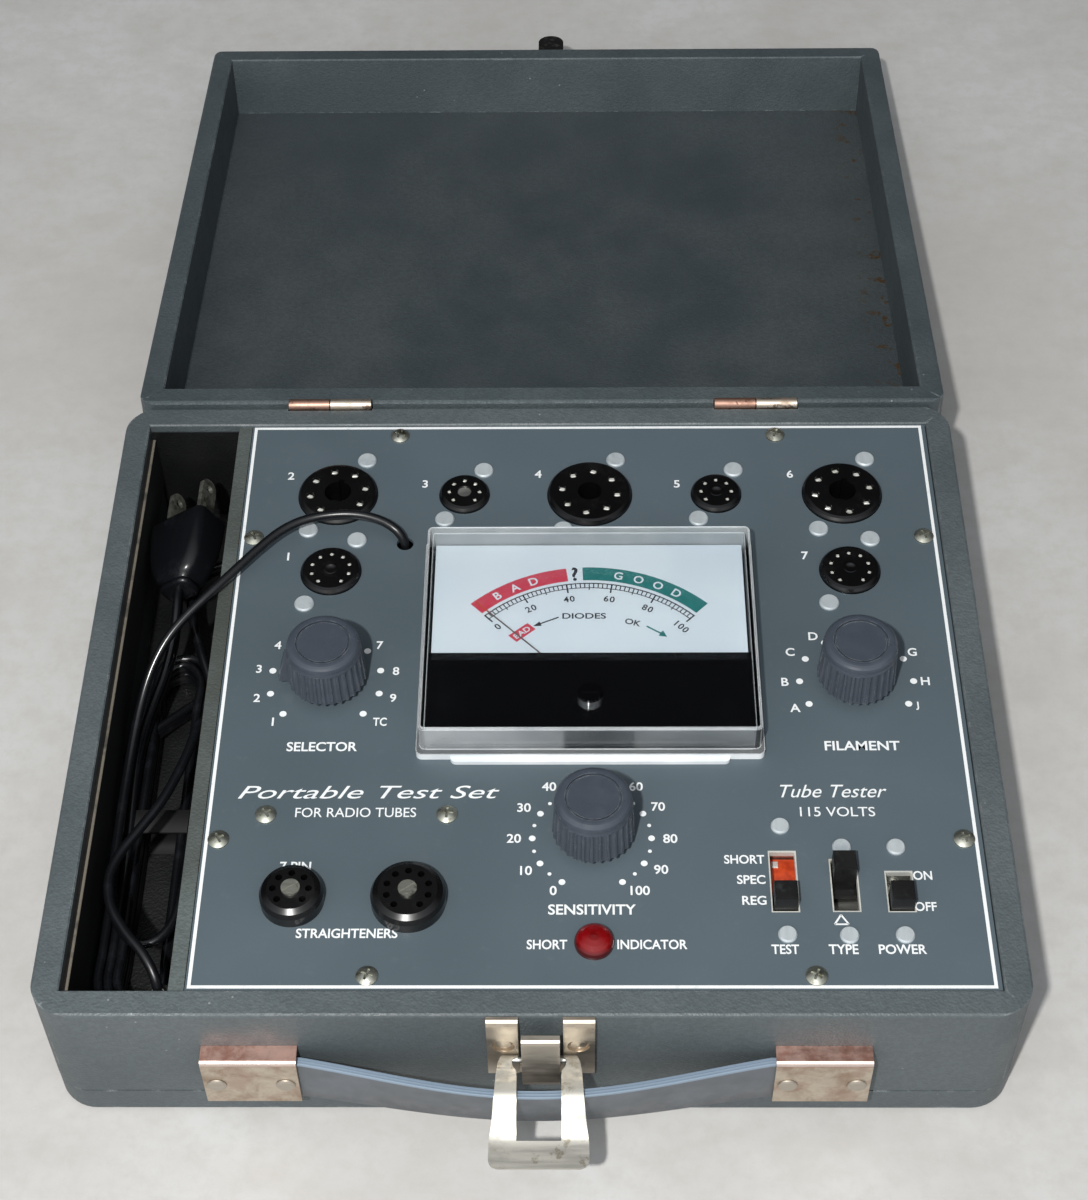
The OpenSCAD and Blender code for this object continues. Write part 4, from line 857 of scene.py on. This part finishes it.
# ---------------------------------------------------------------- printed marks
class Print:
    """Flat marks on one plane, gathered in one mesh."""

    def __init__(self, z):
        self.bm, self.z = bmesh.new(), z

    def poly(self, pts, mat=0):
        f = self.bm.faces.new([self.bm.verts.new((x * MM, y * MM, self.z * MM)) for x, y in pts])
        f.material_index = mat

    def arc(self, c, r0, r1, a0=0.0, a1=360.0, mat=0, n=None):
        n = n or max(6, int(abs(a1 - a0) / 3))
        A = [math.radians(a0 + (a1 - a0) * k / n) for k in range(n + 1)]
        for a, b in zip(A, A[1:]):
            q = [(r0, a), (r1, a), (r1, b), (r0, b)] if r0 else [(r1, a), (r1, b), (0, a)]
            self.poly([(c[0] + r * math.cos(t), c[1] + r * math.sin(t)) for r, t in q], mat)

    def line(self, p, q, w, mat=0):
        d = Vector((q[0] - p[0], q[1] - p[1])).normalized() * w / 2
        self.poly([(p[0] - d.y, p[1] + d.x), (q[0] - d.y, q[1] + d.x), (q[0] + d.y, q[1] - d.x),
                   (p[0] + d.y, p[1] - d.x)], mat)

    def text(self, words, at, high, wide=None, bold=0.018, shear=0.0, turn=0.0, mat=0, space=1.0):
        cu = bpy.data.curves.new("t", "FONT")
        cu.body, cu.size, cu.offset, cu.shear, cu.space_character = words, 1.0, bold, shear, space
        cu.fill_mode = "FRONT"
        cu.resolution_u = 4
        o = bpy.data.objects.new("t", cu)
        bpy.context.scene.collection.objects.link(o)
        bpy.context.view_layer.update()
        me = o.evaluated_get(bpy.context.evaluated_depsgraph_get()).to_mesh()
        X = [v.co.x for v in me.vertices]
        Y = [v.co.y for v in me.vertices]
        cap = 0.73 if any(ch.islower() for ch in words) else max(Y) - min(Y)
        ky = high / cap
        kx = wide / (max(X) - min(X)) if wide else ky
        mx, my = (min(X) + max(X)) / 2, (cap / 2 if cap == 0.73 else (min(Y) + max(Y)) / 2)
        ca, sa = math.cos(turn), math.sin(turn)
        vs = []
        for v in me.vertices:
            x, y = (v.co.x - mx) * kx, (v.co.y - my) * ky
            vs.append(self.bm.verts.new(((at[0] + x * ca - y * sa) * MM, (at[1] + x * sa + y * ca) * MM,
                                         self.z * MM)))
        for p in me.polygons:
            self.bm.faces.new([vs[i] for i in p.vertices]).material_index = mat
        bpy.data.objects.remove(o)
        bpy.data.curves.remove(cu)

    def done(self, name, mats, body):
        for f in self.bm.faces:
            f.normal_update()
            if f.normal.z < 0:
                f.normal_flip()
        return piece(name, self.bm, mats, body, smooth=False)


SEL, FIL, SENS = (-61.3, -0.3), (94.6, -0.3), (16.6, -55.5)
INK_LIFT = 0.03                # lettering above the panel, in mm
DIAL_LIFT = 5.03               # dial print above the panel, in mm
P = Print(PZ + INK_LIFT)
x0, x1, y0, y1, w = -91.3, 123.7, -103.2, 104.0, 0.95
for a, b in (((x0, y0 + w / 2), (x1, y0 + w / 2)), ((x0, y1 - w / 2), (x1, y1 - w / 2)),
             ((x0 + w / 2, y0 + w), (x0 + w / 2, y1 - w)), ((x1 - w / 2, y0 + w), (x1 - w / 2, y1 - w))):
    P.line(a, b, w)
for words, x, y in (("1", -76.2, 48.7), ("2", -77.9, 82.6), ("3", -35.2, 79), ("4", 0.5, 83.1),
                    ("5", 44.3, 78.7), ("6", 80.2, 82.8), ("7", 82.7, 48.6)):
    P.text(words, (x, y), 3.2)


def dots(c, r, angles, size):
    for a in angles:
        t = math.radians(a)
        P.arc((c[0] + r * math.cos(t), c[1] + r * math.sin(t)), 0, size / 2, mat=0, n=16)


dots(SEL, 16.5, range(225, -46, -30), 2.1)
for words, x, y in (("1", -75.7, -14.8), ("2", -81.1, -6.1), ("3", -81.4, 4.7), ("4", -76.5, 13.7),
                    ("7", -46.1, 13.6), ("8", -40.8, 3.8), ("9", -41.2, -6.2)):
    P.text(words, (x, y), 3.0)
for a, words in ((105, "5"), (75, "6")):
    P.text(words, (SEL[0] + 20.8 * math.cos(math.radians(a)), SEL[1] + 20.8 * math.sin(math.radians(a))),
           3.0)
P.text("TC", (-44.6, -14.9), 3.0, 4.0)
P.text("SELECTOR", (-60.8, -23.8), 3.3, 20.3)
dots(FIL, 16.7, range(210, -31, -30), 2.1)
for words, x, y in (("A", 76, -10.1), ("B", 73.6, -0.5), ("C", 75.8, 10.7), ("D", 83, 16.7),
                    ("E", 94.4, 20.8), ("F", 105.4, 17.4), ("G", 111.9, 10.6), ("H", 114.7, -0.3),
                    ("J", 111.5, -9.4)):
    P.text(words, (x, y), 3.0)
P.text("FILAMENT", (94.3, -23.7), 3.3, 21.5)
dots(SENS, 16.6, range(240, -61, -30), 1.9)
dots(SENS, 16.6, range(225, -46, -30), 1.1)
for words, x, y in (("0", 5.9, -72.6), ("10", -1.6, -66.1), ("20", -5.1, -55.5), ("30", -2.4, -45.1),
                    ("40", 4.6, -37.9), ("50", 16.6, -34.4), ("60", 29.2, -37.9), ("70", 35.3, -44.8),
                    ("80", 38.4, -55.6), ("90", 35.6, -65.8), ("100", 29.7, -72.6)):
    P.text(words, (x, y), 3.0)
P.text("SENSITIVITY", (16.5, -78.7), 3.3, 23.9)
P.text("SHORT", (4.3, -89.7), 3.0, 10.9)
P.text("INDICATOR", (32.6, -89.7), 3.0, 18.8)
P.text("STRAIGHTENERS", (-49.8, -86.2), 3.0, 27.5)
P.text("7 PIN", (-65.3, -64.7), 3.0, 8.6)
P.text("Portable Test Set", (-46.4, -39.6), 4.6, 74, shear=0.35, bold=0.0)
P.text("FOR RADIO TUBES", (-49.7, -46.7), 3.2, 34, bold=0.002)
P.text("Tube Tester", (84.9, -39.4), 4.6, 30, shear=0.35, bold=0.0)
P.text("115 VOLTS", (85.5, -46.6), 3.2, 21, bold=0.002)
P.text("SHORT", (58.6, -62.5), 2.9, 11.1)
P.text("SPEC", (60.2, -69.1), 2.9, 7.8)
P.text("REG", (60.7, -75.8), 2.9, 6.6)
P.text("TEST", (68.2, -91.2), 3.0, 7.4)
P.text("TYPE", (83.8, -91.2), 3.0, 7.9)
P.text("POWER", (99.6, -91.2), 3.0, 12.8)
P.text("ON", (107.2, -67.8), 2.9, 5.2)
P.text("OFF", (107.1, -77.8), 2.9, 5.9)
tri = [(82.0, -83.4), (85.8, -83.4), (83.9, -80.4)]
for a, b in zip(tri, tri[1:] + tri[:1]):
    P.line(a, b, 0.5)
P.done("panel_lettering", ink, "case")

# dial: colour band, scale, numbers and pointer words
C = (16.3, -11.4)
D = Print(PZ + DIAL_LIFT)
K, R, G = 0, 1, 2
D.arc(C, 46, 51.1, 134, 97.8, R)
D.arc(C, 46, 51.1, 92.2, 46, G)
D.arc(C, 44.55, 44.95, 134.4, 45.4, K)
D.arc(C, 42.85, 43.15, 134.4, 45.4, K)
for i in range(51):
    a = math.radians(134 - 88.2 * i / 50)
    low = 41.4 if i % 10 == 0 else 42.2 if i % 5 == 0 else 43.0
    D.line((C[0] + low * math.cos(a), C[1] + low * math.sin(a)),
           (C[0] + 44.8 * math.cos(a), C[1] + 44.8 * math.sin(a)),
           0.48 if i % 10 == 0 else 0.34, K)


def along(words, r, mid, high, mat, bold=0.02, step=None):
    step = step or high * 1.05 / r * 57.3
    a = mid + step * (len(words) - 1) / 2
    for ch in words:
        if ch != " ":
            t = math.radians(a)
            D.text(ch, (C[0] + r * math.cos(t), C[1] + r * math.sin(t)), high, bold=bold,
                   turn=t - math.pi / 2, mat=mat)
        a -= step


D.z += 0.02
for i, words in enumerate(("0", "20", "40", "60", "80", "100")):
    a = 134.2 - 17.7 * i
    along(words, 39.0, a, 2.3, K, step=2.7)
along("BAD", 48.5, 117.4, 2.9, 3, step=7.2)
along("GOOD", 48.5, 68.3, 2.9, 3, step=7.4)
along("?", 48.6, 95, 5.4, K)
D.text("DIODES", (14.8, 20.6), 2.2, 13.0, mat=K)
D.text("OK", (29.3, 18.1), 2.2, 4.8, turn=math.radians(-16), mat=K)
D.line((7.2, 20.1), (1.4, 17.5), 0.45, K)
D.poly([(-0.4, 16.7), (2.2, 16.8), (1.5, 18.5)], K)
D.line((33.3, 16.6), (37.6, 13.8), 0.55, 2)
D.poly([(39.3, 12.5), (36.7, 13.0), (38.1, 15.0)], 2)
D.z -= 0.01
D.poly([(-7.7, 13.1), (-5.2, 10.7), (0.4, 15.6), (-2.1, 17.9)], 1)
D.z += 0.01
D.text("BAD", (-3.65, 14.3), 1.9, 5.6, turn=0.7, mat=3)
D.done("dial_print", [black, red, green, pale], "case")

# ---------------------------------------------------------------- floor
bm = bmesh.new()
bmesh.ops.create_grid(bm, x_segments=4, y_segments=4, size=3)
floor_me = bpy.data.meshes.new("floor")
bm.to_mesh(floor_me)
bm.free()
floor = bpy.data.objects.new("floor", floor_me)
bpy.context.scene.collection.objects.link(floor)
ground = Mat("floor", rgb(190, 189, 187), 0.7)
c = ground.mix(ground.span(ground.noise(7, 5, 0.65), 0.36, 0.64), rgb(184, 182, 179), rgb(194, 194, 193))
c = ground.mix(ground.span(ground.noise(1.0, 5, 0.65, vec=ground.stretch(45, 70, 70)), 0.42, 0.68, 0,
                           0.35), c, rgb(174, 171, 165))
ground.set("Base Color", ground.mix(ground.span(ground.noise(170, 5, 0.75), 0.4, 0.7, 0, 0.4), c,
                                    rgb(176, 173, 167)))
floor_me.materials.append(ground.mat)
